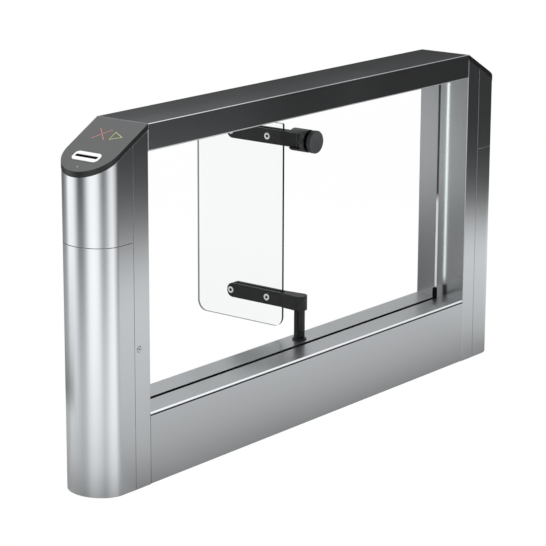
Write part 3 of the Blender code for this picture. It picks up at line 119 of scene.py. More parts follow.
class Shader:
    """A material, or the world, with its nodes made by one method."""

    def __init__(self, name, owner=None):
        self.owner = owner or bpy.data.materials.new(name)
        self.owner.use_nodes = True
        self.tree = self.owner.node_tree
        self.surface = self.tree.nodes.get("Principled BSDF")
        self.exit = self.tree.nodes.get("Material Output") or self.tree.nodes.get("World Output")

    def node(self, kind, settings=None, inputs=None):
        made = self.tree.nodes.new("ShaderNode" + kind)
        for key, value in (settings or {}).items():
            if key == "stops":
                self.set_stops(made.color_ramp, value)
            else:
                setattr(made, key, value)
        for key, value in (inputs or {}).items():
            self.feed(made.inputs[key], value)
        return made

    @staticmethod
    def set_stops(ramp, stops):
        while len(ramp.elements) > 1:
            ramp.elements.remove(ramp.elements[-1])
        ramp.elements[0].position = stops[0][0]
        ramp.elements[0].color = stops[0][1]
        for position, colour in stops[1:]:
            ramp.elements.new(position).color = colour

    def feed(self, socket, value):
        if isinstance(value, Value):
            self.tree.links.new(value.socket, socket)
        else:
            socket.default_value = value

    def out(self, node, name=0):
        return Value(self, node.outputs[name])

    def sum_of(self, operation, *terms):
        return self.out(self.node("Math", {"operation": operation}, dict(enumerate(terms))))

    def level(self, value, stops):
        # A single value that follows the stops, read from a grey ramp.
        stops = [(place, grey(amount)) for place, amount in stops]
        ramp = self.out(self.node("ValToRGB", {"stops": stops}, {"Fac": value}), "Color")
        return self.out(self.node("RGBToBW", None, {"Color": ramp}))

    def place(self, source="Object"):
        return self.out(self.node("TexCoord"), source)

    def parts(self, vector):
        # The three sizes of a vector, by the names of their axes.
        split = self.node("SeparateXYZ", None, {"Vector": vector})
        return {axis: self.out(split, axis) for axis in "XYZ"}

    def light(self, kind, colour, strength=1.0):
        return self.node(kind, None, {"Color": colour, "Strength": strength})

    def blend(self, share, first, second):
        made = self.node("MixShader")
        self.feed(made.inputs[0], share)
        self.tree.links.new(first.outputs[0], made.inputs[1])
        self.tree.links.new(second.outputs[0], made.inputs[2])
        return made

    def show(self, surface):
        self.tree.links.new(surface.outputs[0], self.exit.inputs["Surface"])

    def mix(self, share, first, second):
        made = self.node("Mix", {"data_type": 'RGBA'})
        self.feed(made.inputs[0], share)
        self.feed(made.inputs[6], first)
        self.feed(made.inputs[7], second)
        return self.out(made, 2)

    def stretched(self, scale):
        return self.out(self.node("Mapping", None, {"Vector": self.place(), "Scale": scale}), "Vector")

    def noise(self, scale, detail=3.0, rough=0.5, vector=None):
        inputs = {"Scale": scale, "Detail": detail, "Roughness": rough, "Vector": vector or self.place()}
        return self.out(self.node("TexNoise", None, inputs), 0)

    def bump(self, height, distance, strength=1.0):
        inputs = {"Height": height, "Distance": distance, "Strength": strength}
        return self.out(self.node("Bump", None, inputs), "Normal")

    def finish(self, **values):
        for name, value in values.items():
            self.feed(self.surface.inputs[name.replace("_", " ")], value)
        return self.owner


def grey(level):
    return (level, level, level, 1.0)


def shaded(colour, share):
    # The colour made lighter or darker, with its alpha.
    return tuple(min(1.0, part * share) for part in colour[:3]) + (1.0,)


UPRIGHT_GRAIN = (2600.0, 2600.0, 20.0)
LEVEL_GRAIN = (20.0, 2600.0, 2600.0)


def brushed_steel(name, grain, tone, rough, along=None, across=None):
    # The grain's long direction has the smallest scale. The tables darken it along X and across Y: painted
    # light falloff and painted shade in the base colour.
    shader = Shader(name)
    streaks = shader.noise(1.0, 4.0, 0.62, shader.stretched(grain))
    broad = shader.noise(1.0, 2.0, 0.5, shader.stretched([value * 0.12 for value in grain]))
    smears = shader.noise(5.0, 3.0, 0.55)
    light = (tone * 1.02, tone * 1.035, tone * 1.05, 1)
    dark = (tone * 0.95, tone * 0.955, tone * 0.965, 1)
    colour = shader.mix(streaks * 0.7 + broad * 0.3, dark, light)
    if along:
        parts = shader.parts(shader.place())
        share = shader.level(parts["X"] / (2 * WINDOW_X * MM) + 0.5, along)
        if across:
            share = share * shader.level(parts["Y"] / (2 * HALF_WIDTH * MM) + 0.5, across)
        colour = shader.mix(share, grey(0.0), colour)
    roughness = rough + (streaks - 0.5) * 0.06 + (smears - 0.5) * 0.04
    normal = shader.bump(streaks, 0.000008, 0.3)
    return shader.finish(Base_Color=colour, Metallic=1.0, Roughness=roughness, Normal=normal)


def moulded(name, colour, rough, speck=0.06, depth=0.00003, scale=900.0, coat=0.0, gloss=0.5):
    # Moulded or powder-coated surface: fine orange peel, with soft patches of wear.
    shader = Shader(name)
    peel = shader.noise(scale, 2.0, 0.5)
    patches = shader.noise(14.0, 4.0, 0.6)
    tint = shader.mix(peel * 0.4 + patches * 0.6, shaded(colour, 1 - speck * 2),
                      shaded(colour, 1 + speck * 2))
    roughness = rough + (patches - 0.5) * 0.14 + (peel - 0.5) * 0.05
    normal = shader.bump(peel, depth, 0.5)
    return shader.finish(Base_Color=tint, Roughness=roughness, Normal=normal, Coat_Weight=coat,
                         Specular_IOR_Level=gloss)


def turned_metal(name, tone, rough, metal=1.0):
    # Fine lines, as a cutting tool leaves them.
    shader = Shader(name)
    rings = shader.noise(1.0, 3.0, 0.6, shader.stretched((1400.0, 1400.0, 60.0)))
    smears = shader.noise(60.0, 3.0, 0.5)
    colour = shader.mix(rings, grey(tone * 0.86), grey(tone * 1.05))
    roughness = rough + (rings - 0.5) * 0.12 + (smears - 0.5) * 0.08
    normal = shader.bump(rings, 0.00002, 0.3)
    return shader.finish(Base_Color=colour, Metallic=metal, Roughness=roughness, Normal=normal)


def zinc_plated(name, tint):
    # Passivated zinc: cloudy spangle with a faint warm cast.
    shader = Shader(name)
    cells = shader.out(shader.node("TexVoronoi", None, {"Vector": shader.place(), "Scale": 120.0}), "Color")
    level = shader.out(shader.node("RGBToBW", None, {"Color": cells}))
    clouds = shader.noise(16.0, 3.0, 0.6)
    colour = shader.mix(level * 0.35 + clouds * 0.65, shaded(tint, 0.82), shaded(tint, 1.06))
    roughness = 0.36 + (level - 0.5) * 0.10 + (clouds - 0.5) * 0.12
    normal = shader.bump(level, 0.00002, 0.3)
    return shader.finish(Base_Color=colour, Metallic=1.0, Roughness=roughness, Normal=normal)


def clear_pane(name, tint, rim, inner_rim, sheen, across, haze=0.0, fade=0.0, lit=None, edge_from=0.6,
               gloss=0.5):
    # See-through faces with a light sheen. The rim, whose normal lies in the sheet's own plane,
    # is darker, as a polished edge is, and has a colour of its own where it is seen through the sheet.
    shader = Shader(name)
    flatness = abs(shader.parts(shader.place("Normal"))[across])
    smears = shader.noise(6.0, 4.0, 0.6)
    see_through = shader.node("BsdfTransparent", None, {"Color": tint})
    polish = shader.node("BsdfGlossy", None, {"Color": grey(1.0), "Roughness": 0.02 + smears * 0.03})
    fresnel = shader.out(shader.node("Fresnel", None, {"IOR": 1.45}))
    geometry = shader.node("NewGeometry")
    behind = shader.out(geometry, "Backfacing")
    front = 1.0 - behind
    face = shader.blend((fresnel * sheen + smears * haze) * front, see_through, polish)
    ripples = shader.noise(220.0, 2.0, 0.5)
    colour = shader.mix(behind, shader.mix(ripples, rim, shaded(rim, 0.6)), inner_rim)
    if lit:
        # Painted light: the rim glows above the lower height though it is no lamp, lighting what stands
        # beside it, and between the two heights its inside is painted bright where it is seen through the
        # sheet, a painted highlight.
        low, high = lit
        height = shader.parts(shader.out(geometry, "Position"))["Z"]
        bright = shader.level(height, ((low, 0.0), (low + 0.002, 1.0), (high, 1.0), (high + 0.03, 0.0)))
        colour = shader.mix(bright * behind, colour, grey(0.75))
        glow = shader.level(height, ((low, 0.0), (low + 0.03, 0.8), (high, 0.9), (0.7, 1.0)))
        painted_glow = shader.mix(glow * front, grey(0.0), rim)
        shader.finish(Emission_Color=painted_glow, Emission_Strength=2.4)
    shader.finish(Base_Color=colour, Roughness=0.12, Specular_IOR_Level=gloss)
    edge = shader.blend(behind * fade, shader.surface, see_through)
    shader.show(shader.blend(flatness > edge_from, edge, face))
    return shader.owner


def lit_lens(name, colour, glow, dark_share=0.5):
    # A diffusing lens with its lamps faintly lit behind it.
    shader = Shader(name)
    grain = shader.noise(700.0, 2.0, 0.5)
    tint = shader.mix(grain, shaded(colour, dark_share), shaded(colour, 1))
    roughness = 0.3 + (grain - 0.5) * 0.1
    return shader.finish(Base_Color=tint, Roughness=roughness, Emission_Color=tint, Emission_Strength=glow)


POST_STEEL = brushed_steel("post_brushed_steel", UPRIGHT_GRAIN, 0.75, 0.165)
# A darker copy of the post steel for the posts' inner faces: painted shade.
INNER_FACE_SHADED_STEEL = brushed_steel("inner_face_painted_shade_steel", UPRIGHT_GRAIN, 0.53, 0.22)
BEAM_STEEL = brushed_steel("beam_brushed_steel", LEVEL_GRAIN, 0.72, 0.22)
SILL_STEEL = brushed_steel("beam_top_brushed_steel", LEVEL_GRAIN, 0.72, 0.29)
# A brighter copy of the beam steel for the top plate's chamfered edges: a painted highlight.
LIP_PAINTED_HIGHLIGHT_STEEL = brushed_steel("beam_lip_painted_highlight_steel", LEVEL_GRAIN, 0.98, 0.34)
# Painted light along the rail: its steel is lightest near the near post and darker along X.
RAIL_PAINTED_FALLOFF_ALONG = ((0.0, 1.0), (0.12, 0.97), (0.28, 0.82), (0.42, 0.61), (0.5, 0.62), (0.6, 0.72), (0.72, 0.62),
              (1.0, 0.60))
# Painted shade on the rail's top: a darker copy of its steel, lighter near the near post and towards the
# front edge.
RAIL_TOP_PAINTED_SHADE_ALONG = ((0.0, 1.0), (0.14, 0.76), (0.28, 0.66), (0.42, 0.46), (0.5, 0.46), (0.6, 0.56),
                  (0.75, 0.42), (1.0, 0.40))
RAIL_TOP_PAINTED_SHADE_ACROSS = ((0.0, 1.0), (0.2, 0.84), (0.5, 0.62), (1.0, 0.46))
RAIL_PAINTED_FALLOFF_METAL = brushed_steel("rail_steel_painted_light_falloff", LEVEL_GRAIN, 0.98, 0.17, RAIL_PAINTED_FALLOFF_ALONG)
RAIL_TOP_PAINTED_SHADE_METAL = brushed_steel("rail_top_painted_shade_steel", LEVEL_GRAIN, 0.56, 0.17, RAIL_TOP_PAINTED_SHADE_ALONG,
                               RAIL_TOP_PAINTED_SHADE_ACROSS)
LID_EDGE_BLACK = moulded("lid_black_edge", (0.012, 0.012, 0.013), 0.30, 0.08, 0.00002)
LID_COAT = moulded("lid_dark_lacquer", (0.076, 0.076, 0.077), 0.42, 0.05)
ARM_BLACK = moulded("arm_satin_black", (0.008, 0.008, 0.009), 0.30, 0.10, 0.00002, gloss=0.40)
HUB_BLACK = moulded("hub_satin_black", (0.026, 0.027, 0.028), 0.34, 0.10, 0.00002, gloss=0.4)
HUB_FACE = moulded("hub_face_satin", (0.056, 0.058, 0.060), 0.38, 0.05, 0.00001, gloss=0.4)
SHAFT_BLACK = moulded("shaft_gloss_black", (0.002, 0.002, 0.0022), 0.13, 0.10, 0.00001, gloss=0.42)
# Black rubber for the seals, washers, clips and pads, also put on faces in gaps between parts as painted
# shade.
RUBBER_AND_GAP_SHADE = moulded("black_rubber_and_painted_gap_shade", (0.0035, 0.0035, 0.0035), 0.62, 0.12, 0.00005, 500.0,
                      gloss=0.12)
BEZEL_WHITE = moulded("bezel_white_plastic", (0.86, 0.86, 0.85), 0.30, 0.02, 0.00001, 1200.0, 0.3)
SCREW_STEEL = turned_metal("screw_turned_steel", 0.95, 0.34, metal=0.55)
LOCK_STEEL = turned_metal("lock_nickel", 0.70, 0.20)
BEARING_STEEL = turned_metal("bearing_ground_steel", 0.62, 0.24)
ZINC = zinc_plated("zinc_plate", (0.62, 0.625, 0.62))
GREY_PLASTIC = moulded("unit_grey_plastic", (0.16, 0.165, 0.17), 0.45, 0.05, 0.00004)
MOTOR_PAINT = moulded("motor_grey_paint", (0.10, 0.105, 0.11), 0.40, 0.06, 0.00004)
READER_PLASTIC = moulded("reader_black_plastic", (0.02, 0.02, 0.021), 0.48, 0.08, 0.00003)
# Black for the card slot's throat, and for the lock's keyway as painted shade.
THROAT_BLACK_AND_KEYWAY_SHADE = moulded("slot_throat_black_and_keyway_shade", (0.004, 0.004, 0.004), 0.6, 0.10, 0.00003, gloss=0.15)
BELT_RUBBER = moulded("belt_black_rubber", (0.012, 0.012, 0.012), 0.7, 0.12, 0.00006, 700.0)
BOARD_LACQUER = moulded("board_green_lacquer", (0.012, 0.075, 0.030), 0.35, 0.10, 0.00002, 600.0)
CROSS_LENS = lit_lens("cross_smoked_lens", (0.16, 0.055, 0.05), 0.05)
ARROW_LENS = lit_lens("arrow_smoked_lens", (0.10, 0.12, 0.04), 0.05)
CROSS_LAMP = lit_lens("cross_red_lamps", (0.66, 0.30, 0.27), 0.35, 0.8)
ARROW_LAMP = lit_lens("arrow_green_lamps", (0.62, 0.66, 0.30), 0.45, 0.8)
STATUS_LAMP = lit_lens("status_pale_lamp", (0.60, 0.60, 0.60), 0.10, 0.9)
# The window's rim is painted pale and made to glow: a painted highlight, which also lights the posts' inner
# faces beside it.
WINDOW_GLASS = clear_pane("window_clear_glass", grey(1.0), (0.78, 0.86, 0.84, 1), (0.02, 0.025, 0.025, 1),
                          0.12, "Y", lit=(0.239, 0.52))
LEAF_GLASS = clear_pane("leaf_clear_glass", (0.965, 0.975, 0.972, 1), (0.010, 0.013, 0.013, 1),
                        (0.02, 0.025, 0.025, 1), 0.5, "X", 0.01, 0.22, edge_from=0.92, gloss=0.12)


# Shapes

PIECES = []
SHARP = math.radians(32)
ALONG_X = (1, 0, 0)
ALONG_Y = (0, 1, 0)
ALONG_Z = (0, 0, 1)


def in_metres(*sizes):
    return Vector([size * MM for size in sizes])


def in_millimetres(vector):
    return tuple(part / MM for part in vector)


def closed_mesh(name, bm):
    # The shape as a mesh whose faces look outwards.
    bmesh.ops.recalc_face_normals(bm, faces=bm.faces)
    if bm.calc_volume(signed=True) < 0:
        bmesh.ops.reverse_faces(bm, faces=bm.faces)
    mesh = bpy.data.meshes.new(name)
    bm.to_mesh(mesh)
    bm.free()
    return mesh


def link_object(name, data):
    obj = bpy.data.objects.new(name, data)
    bpy.context.scene.collection.objects.link(obj)
    return obj


def shade(mesh):
    mesh.shade_smooth()
    mesh.set_sharp_from_angle(angle=SHARP)


def make_piece(name, bm, material, body, node=None):
    mesh = closed_mesh(name, bm)
    mesh.materials.append(material)
    shade(mesh)
    obj = link_object(name, mesh)
    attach(obj, body)
    if node:
        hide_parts(node)
    PIECES.append(obj)
    return obj


def flatten_shading():
    # Large flat faces keep their own normals, so only the rounded edges beside them shade off.
    for obj in PIECES:
        weighed = obj.modifiers.new("weighed_normals", 'WEIGHTED_NORMAL')
        weighed.keep_sharp = True
        weighed.weight = 50


def round_edges(obj, width, segments=2, angle=35.0):
    bevel = obj.modifiers.new("rounded_edges", 'BEVEL')
    bevel.width = width * MM
    bevel.segments = segments
    bevel.limit_method = 'ANGLE'
    bevel.angle_limit = math.radians(angle)
    bevel.harden_normals = True
    return obj


def settle(obj):
    # The modifiers' result becomes the object's own mesh.
    bpy.context.view_layer.update()
    depsgraph = bpy.context.evaluated_depsgraph_get()
    mesh = bpy.data.meshes.new_from_object(obj.evaluated_get(depsgraph))
    obj.modifiers.clear()
    obj.data = mesh


def loose(bm):
    # An object that only shapes another one.
    return link_object("shaping_tool", closed_mesh("shaping_tool", bm))


def shape_with(obj, operation, *tools):
    made = [loose(tool) for tool in tools]
    for tool in made:
        modifier = obj.modifiers.new(operation.lower(), 'BOOLEAN')
        modifier.operation = operation
        modifier.solver = 'EXACT'
        modifier.object = tool
    settle(obj)
    for tool in made:
        bpy.data.objects.remove(tool, do_unlink=True)
    shade(obj.data)


def paint_faces(obj, material, chosen):
    # A second finish on the faces that are chosen by their normal.
    obj.data.materials.append(material)
    for face in obj.data.polygons:
        if chosen(face.normal):
            face.material_index = len(obj.data.materials) - 1


def block(low, high, place=(0, 0, 0)):
    low = Vector(place) + in_metres(*low)
    high = Vector(place) + in_metres(*high)
    bm = bmesh.new()
    bmesh.ops.create_cube(bm, size=1.0)
    bmesh.ops.scale(bm, vec=high - low, verts=bm.verts)
    bmesh.ops.translate(bm, vec=(low + high) / 2, verts=bm.verts)
    return bm


def aimed(bm, axis, place):
    # A shape made upright is laid so that its +Z runs along the axis, then moved.
    turn = Vector(axis).to_track_quat('Z', 'Y').to_matrix().to_4x4()
    bm.transform(Matrix.Translation(place) @ turn)
    return bm


def rod(radius, low, high, axis=ALONG_Z, place=(0, 0, 0), steps=32):
    bm = bmesh.new()
    bmesh.ops.create_cone(bm, cap_ends=True, segments=steps, radius1=radius * MM, radius2=radius * MM,
                          depth=(high - low) * MM)
    bmesh.ops.translate(bm, vec=in_metres(0, 0, (low + high) / 2), verts=bm.verts)
    return aimed(bm, axis, place)


def lathe(profile, axis=ALONG_Z, place=(0, 0, 0), steps=72, ring=False):
    # The profile lists radius and height down the outer side; a ring's profile is closed.
    bm = bmesh.new()
    verts = [bm.verts.new(in_metres(radius, 0, height)) for radius, height in profile]
    pairs = list(zip(verts, verts[1:]))
    if ring:
        pairs.append((verts[-1], verts[0]))
    for pair in pairs:
        bm.edges.new(pair)
    bmesh.ops.spin(bm, geom=bm.verts[:] + bm.edges[:], cent=(0, 0, 0), axis=ALONG_Z,
                   angle=math.tau, steps=steps, use_merge=True, use_duplicate=False)
    bmesh.ops.remove_doubles(bm, verts=bm.verts, dist=0.01 * MM)
    return aimed(bm, axis, place)


def arc(centre, radius, start, end, steps, depth=None):
    # Points on a circle, or on an ellipse whose size along X is the depth.
    across = radius if depth is None else depth
    points = []
    for step in range(steps + 1):
        angle = start + (end - start) * step / steps
        points.append((centre[0] + across * math.cos(angle), centre[1] + radius * math.sin(angle)))
    return points


def rounded_profile(corners, steps=5):
    # Each corner is (x, y, radius); the result is a closed outline with rounded corners.
    points = []
    count = len(corners)
    for index, (x, y, radius) in enumerate(corners):
        here = in_metres(x, y)
        before = (in_metres(*corners[index - 1][:2]) - here).normalized()
        after = (in_metres(*corners[(index + 1) % count][:2]) - here).normalized()
        if radius <= 0:
            points.append((x, y))
            continue
        half = before.angle(after) / 2
        reach = radius * MM / math.tan(half)
        centre = here + (before + after).normalized() * radius * MM / math.sin(half)
        first = here + before * reach - centre
        turn = first.angle_signed(here + after * reach - centre)
        for step in range(steps + 1):
            angle = -turn * step / steps
            points.append(in_millimetres(centre + Matrix.Rotation(angle, 2) @ first))
    return points


def with_mirror(points, across=0):
    # The points, then their mirror images in the opposite order. Across tells which size changes sign.
    images = [list(point) for point in reversed(points)]
    for image in images:
        image[across] = -image[across]
    return points + [tuple(image) for image in images]


def offset_path(path, distance):
    # An open path moved to its left, mitred at its corners.
    points = [in_metres(*point) for point in path]
    moved = []
    for index, point in enumerate(points):
        before = points[index] - points[index - 1] if index else points[1] - points[0]
        after = points[index + 1] - point if index + 1 < len(points) else before
        normals = [Vector((-way.y, way.x)).normalized() for way in (before, after)]
        middle = (normals[0] + normals[1]).normalized()
        moved.append(in_millimetres(point + middle * distance * MM / max(0.2, middle.dot(normals[0]))))
    return moved


def add_sides(bm, rings):
    # A stack of rings becomes a closed shape.
    bm.faces.new(list(reversed(rings[0])))
    bm.faces.new(rings[-1])
    for low, high in zip(rings, rings[1:]):
        for index in range(len(low)):
            after = (index + 1) % len(low)
            bm.faces.new((low[index], low[after], high[after], high[index]))


def level_at(level, x):
    # A level is a number or a function of X.
    return level(x) if callable(level) else level


def prism(outline, low, high, axis='Z', place=(0, 0, 0)):
    # An outline in the two other axes, carried from low to high along this one.
    bm = bmesh.new()
    rings = []
    for level in (low, high):
        ring = []
        for first, second in outline:
            spot = [first, second]
            spot.insert("XYZ".index(axis), level_at(level, first))
            ring.append(bm.verts.new([move + size * MM for size, move in zip(spot, place)]))
        rings.append(ring)
    add_sides(bm, rings)
    return bm


def stacked(*layers):
    # Outlines with the same count of points, each with its own height.
    bm = bmesh.new()
    add_sides(bm, [[bm.verts.new(in_metres(x, y, height)) for x, y in outline]
                   for outline, height in layers])
    return bm


def wall_of(path, thickness, low, high):
    # Bent sheet standing on its edge, with its thickness to the left of the path.
    bm = bmesh.new()
    rows = []
    for line in (path, offset_path(path, thickness)):
        for level in (low, high):
            rows.append([bm.verts.new(in_metres(x, y, level_at(level, x))) for x, y in line])
    outer_low, outer_high, inner_low, inner_high = rows
    for index in range(len(path) - 1):
        after = index + 1
        bm.faces.new((outer_low[index], outer_low[after], outer_high[after], outer_high[index]))
        bm.faces.new((inner_low[after], inner_low[index], inner_high[index], inner_high[after]))
        bm.faces.new((outer_high[index], outer_high[after], inner_high[after], inner_high[index]))
        bm.faces.new((outer_low[after], outer_low[index], inner_low[index], inner_low[after]))
    for end in (0, -1):
        bm.faces.new((outer_low[end], outer_high[end], inner_high[end], inner_low[end]))
    return bm


def merged(*parts):
    # Several closed shapes kept in one mesh.
    whole = bmesh.new()
    for part in parts:
        mesh = bpy.data.meshes.new("part_of_piece")
        part.to_mesh(mesh)
        part.free()
        whole.from_mesh(mesh)
        bpy.data.meshes.remove(mesh)
    return whole


def on_side(bm, side):
    # The far post is the near one turned half round.
    if side == "far":
        bm.transform(HALF_TURN)
    return bm


def side_piece(side, name, bm, material, body=GATE, node=None):
    return make_piece(f"{side}_{name}", on_side(bm, side), material, body, node and f"{side}_{node}")


def shape_side(obj, operation, side, *tools):
    shape_with(obj, operation, *[on_side(tool, side) for tool in tools])


def in_lid(bm):
    # From the lid's own frame, X down the slope and Z out of it, to the near post.
    turn = HALF_TURN @ Matrix.Rotation(LID_SLOPE, 4, 'Y')
    bm.transform(Matrix.Translation(in_metres(-WINDOW_X, 0, GATE_TOP)) @ turn)
    return bm


def end_plan(overhang=0, start=SEAM_X + SEAM / 2):
    # The rounded end of the near post, seen from above.
    curve = arc((-CURVE_X, 0), HALF_WIDTH, math.pi / 2, 3 * math.pi / 2, 72, END_CURVE + overhang)
    return [(-start, HALF_WIDTH)] + curve + [(-start, -HALF_WIDTH)]


def lid_top(x):
    return GATE_TOP + math.tan(LID_SLOPE) * (x + WINDOW_X)


def lid_bottom(x):
    return lid_top(x) - LID_EDGE


def under_lid(x):
    return lid_bottom(x) - FIT / math.cos(LID_SLOPE)


# Posts

def build_column(side):
    bend = 3
    start = -SEAM_X + SEAM / 2
    path = [(start, -HALF_WIDTH)]
    path += arc((-WINDOW_X - bend, -HALF_WIDTH + bend), bend, -math.pi / 2, 0, 6)
    path += arc((-WINDOW_X - bend, HALF_WIDTH - bend), bend, 0, math.pi / 2, 6)
    path += [(start, HALF_WIDTH)]
    wall = wall_of(path, SKIN, FOOT_GAP, under_lid)
    column = side_piece(side, "column_skin", wall, POST_STEEL, node="column")
    hole = rod(LOCK_RADIUS + FIT, -20, 20, ALONG_Y, LOCK, 40)
    passage = block((-778, -55, 30), (-738, 55, 118))
    shape_side(column, 'DIFFERENCE', side, hole, passage)
    settle(round_edges(column, 0.35))
    # The faces that look along X, the inner face towards the beam among them, take the darker inner steel:
    # painted shade.
    paint_faces(column, INNER_FACE_SHADED_STEEL, lambda normal: abs(normal.x) > 0.9)
    backing = block((-821.8, -87.8, 6), (-812.5, -86.9, 870))
    strip = side_piece(side, "seam_backing", backing, POST_STEEL)
    shape_side(strip, 'DIFFERENCE', side, block((-823, -89, 402), (-811, -86, 426)))


def build_upper_cover(side):
    wall = wall_of(end_plan(), SKIN, COVER_SPLIT + SEAM / 2, under_lid)
    cover = side_piece(side, "upper_cover_skin", wall, POST_STEEL, node="upper_cover")
    round_edges(cover, 0.35)
    # The cover's upward faces under the lid are painted black: painted shade under the lid.
    paint_faces(cover, RUBBER_AND_GAP_SHADE, lambda normal: normal.z > 0.3)


def build_door(side):
    body = f"{side}_service_door"
    door_top = COVER_SPLIT - SEAM / 2
    wall = wall_of(end_plan(), SKIN, FOOT_GAP, door_top)
    round_edges(side_piece(side, "door_skin", wall, POST_STEEL, body, "door"), 0.35)
    lugs = []
    for low in (12, door_top - 14):
        lug = loose(block((-9, -8, low), (9, 5, low + 4), HINGE))
        shape_with(lug, 'DIFFERENCE', rod(4.3, low - 5, low + 9, place=HINGE))
        lugs.append(bmesh.new())
        lugs[-1].from_mesh(lug.data)
        bpy.data.objects.remove(lug, do_unlink=True)
    round_edges(side_piece(side, "door_lugs", merged(*lugs), ZINC, body), 0.3)
    path = [(-842, -87.7), (-824, -87.7), (-822, -85.7), (-822, -80), (-820, -78), (-790, -78),
            (-788, -76), (-788, -62)]
    bent = wall_of(path, SHEET, 404, 424)
    round_edges(side_piece(side, "keeper_strip", bent, ZINC, body, "keeper"), 0.3)


def build_lock(side):
    body = f"{side}_cam_lock"
    rim = LOCK_RADIUS
    profile = [(0, 22), (rim, 22), (rim, -0.7), (rim - 0.3, -1.2), (rim - 0.9, -1.5), (rim - 2.1, -1.5),
               (rim - 2.4, -1.1), (0, -1.1)]
    turned = lathe(profile, ALONG_Y, LOCK, 48)
    barrel = side_piece(side, "lock_barrel", turned, LOCK_STEEL, body, "lock")
    shape_side(barrel, 'DIFFERENCE', side, block((-4, -20, -1), (4, 3, 1), LOCK))
    # A black block fills the keyway just behind its mouth: painted shade in the keyway's depth.
    side_piece(side, "lock_keyway", block((-4, -0.9, -1), (4, 2.8, 1), LOCK), THROAT_BLACK_AND_KEYWAY_SHADE, body)
    cam = rounded_profile([(-26, -4.5, 4.4), (4.5, -4.5, 2), (4.5, 4.5, 2), (-26, 4.5, 4.4)], 6)
    blade = prism(cam, 22.1, 24.6, 'Y', LOCK)
    round_edges(side_piece(side, "lock_cam", blade, ZINC, body), 0.25)


CARD_DOWN = 161
STATUS_DOWN = 203
CROSS_PLACE = in_metres(66, -21, 0)
CROSS_TURNS = (math.pi / 4, -math.pi / 4)
ARROW_CORNERS = [Vector(corner) for corner in ((48, 14), (67, 55), (86, 14))]


def lid_outline(length, width, corner):
    # A rounded rectangle round the card slot, as points down the slope and along it.
    start = CARD_DOWN - width / 2
    end = CARD_DOWN + width / 2
    half = length / 2
    return rounded_profile([(start, -half, corner), (end, -half, corner), (end, half, corner),
                            (start, half, corner)], 8)


def arrow_ring(grow):
    middle = sum(ARROW_CORNERS, Vector((0, 0))) / 3
    return [corner + (corner - middle).normalized() * grow * 2 for corner in ARROW_CORNERS]


def build_lid(side):
    plan = end_plan(LID_OVERHANG, WINDOW_X + FIT)
    lid = side_piece(side, "lid_shell", prism(plan, lid_bottom, lid_top), LID_COAT, node="lid")
    tools = [prism(lid_outline(84.6, 27.6, 9), -40, 40),
             rod(2.5, -40, 40, place=in_metres(STATUS_DOWN, 0, 0), steps=24)]
    for turn in CROSS_TURNS:
        bar = block((-30.3, -2.3, -1.5), (30.3, 2.3, 20))
        bar.transform(Matrix.Translation(CROSS_PLACE) @ Matrix.Rotation(turn, 4, 'Z'))
        tools.append(bar)
    tools.append(prism(arrow_ring(0.4), -1.5, 20))
    shape_side(lid, 'DIFFERENCE', side, *[in_lid(tool) for tool in tools])
    shape_side(lid, 'UNION', side, in_lid(prism(arrow_ring(-5), -2, -0.02)))
    settle(round_edges(lid, 0.9, 3, 40.0))
    edge = math.sin(LID_SLOPE) - 0.06
    paint_faces(lid, LID_EDGE_BLACK, lambda normal: abs(normal.x) < edge or normal.z < 0.5)


def lamp_dots(points, radius, height):
    # Small domes standing in the lens.
    bm = bmesh.new()
    for x, y in points:
        dome = bmesh.ops.create_uvsphere(bm, u_segments=10, v_segments=6, radius=radius * MM)
        bmesh.ops.scale(bm, vec=(1, 1, height / radius), verts=dome["verts"])
        bmesh.ops.translate(bm, vec=in_metres(x, y, -0.35), verts=dome["verts"])
    return in_lid(bm)


def build_lights(side):
    cross = []
    for turn in CROSS_TURNS:
        for step in range(-5, 6):
            along = in_metres(step * 5.6, 0, 0)
            along.rotate(Matrix.Rotation(turn, 3, 'Z'))
            if step or turn > 0:
                cross.append(in_millimetres(CROSS_PLACE + along)[:2])
    side_piece(side, "cross_lamps", lamp_dots(cross, 1.8, 0.8), CROSS_LAMP)
    arrow = []
    ring = arrow_ring(-2.2)
    for first, second in zip(ring, ring[1:] + ring[:1]):
        count = max(2, round((second - first).length / 4.8))
        arrow += [first.lerp(second, step / count) for step in range(count)]
    side_piece(side, "arrow_lamps", lamp_dots(arrow, 1.5, 0.75), ARROW_LAMP)
    side_piece(side, "status_lamp", lamp_dots([(STATUS_DOWN, 0)], 2.1, 0.9), STATUS_LAMP)


def build_bezel(side):
    flange = stacked((lid_outline(92, 35, 13), 0.3), (lid_outline(92, 35, 13), 1.2),
                     (lid_outline(90.8, 33.8, 12.4), 1.9), (lid_outline(88.6, 31.6, 11.4), 2.1))
    bezel = side_piece(side, "bezel_cap", in_lid(flange), BEZEL_WHITE, node="card_bezel")
    shape_side(bezel, 'UNION', side, in_lid(prism(lid_outline(84, 27, 9), -13.6, 1)))
    shape_side(bezel, 'DIFFERENCE', side, in_lid(prism(lid_outline(79, 10, 4), -20, 20)))
    settle(round_edges(bezel, 0.6, 3, 40.0))
    insert = in_lid(prism(lid_outline(78.6, 9.6, 3.8), -13.3, 0.9))
    throat = side_piece(side, "slot_throat", insert, THROAT_BLACK_AND_KEYWAY_SHADE)
    slot = block((CARD_DOWN - 1.8, -37, -30), (CARD_DOWN + 1.8, 37, 30))
    flare = stacked((lid_outline(74, 3.6, 0), -1.6), (lid_outline(77.2, 8, 0), 1.2))
    shape_side(throat, 'DIFFERENCE', side, in_lid(slot), in_lid(flare))
    round_edges(throat, 0.2)


# Beam, rail and window

BEAM_END = WINDOW_X - FIT
SEAL_END = 735.4
SLOT_HALF = 7.3


def beam_length(section):
    return prism(section, -BEAM_END, BEAM_END, 'X')


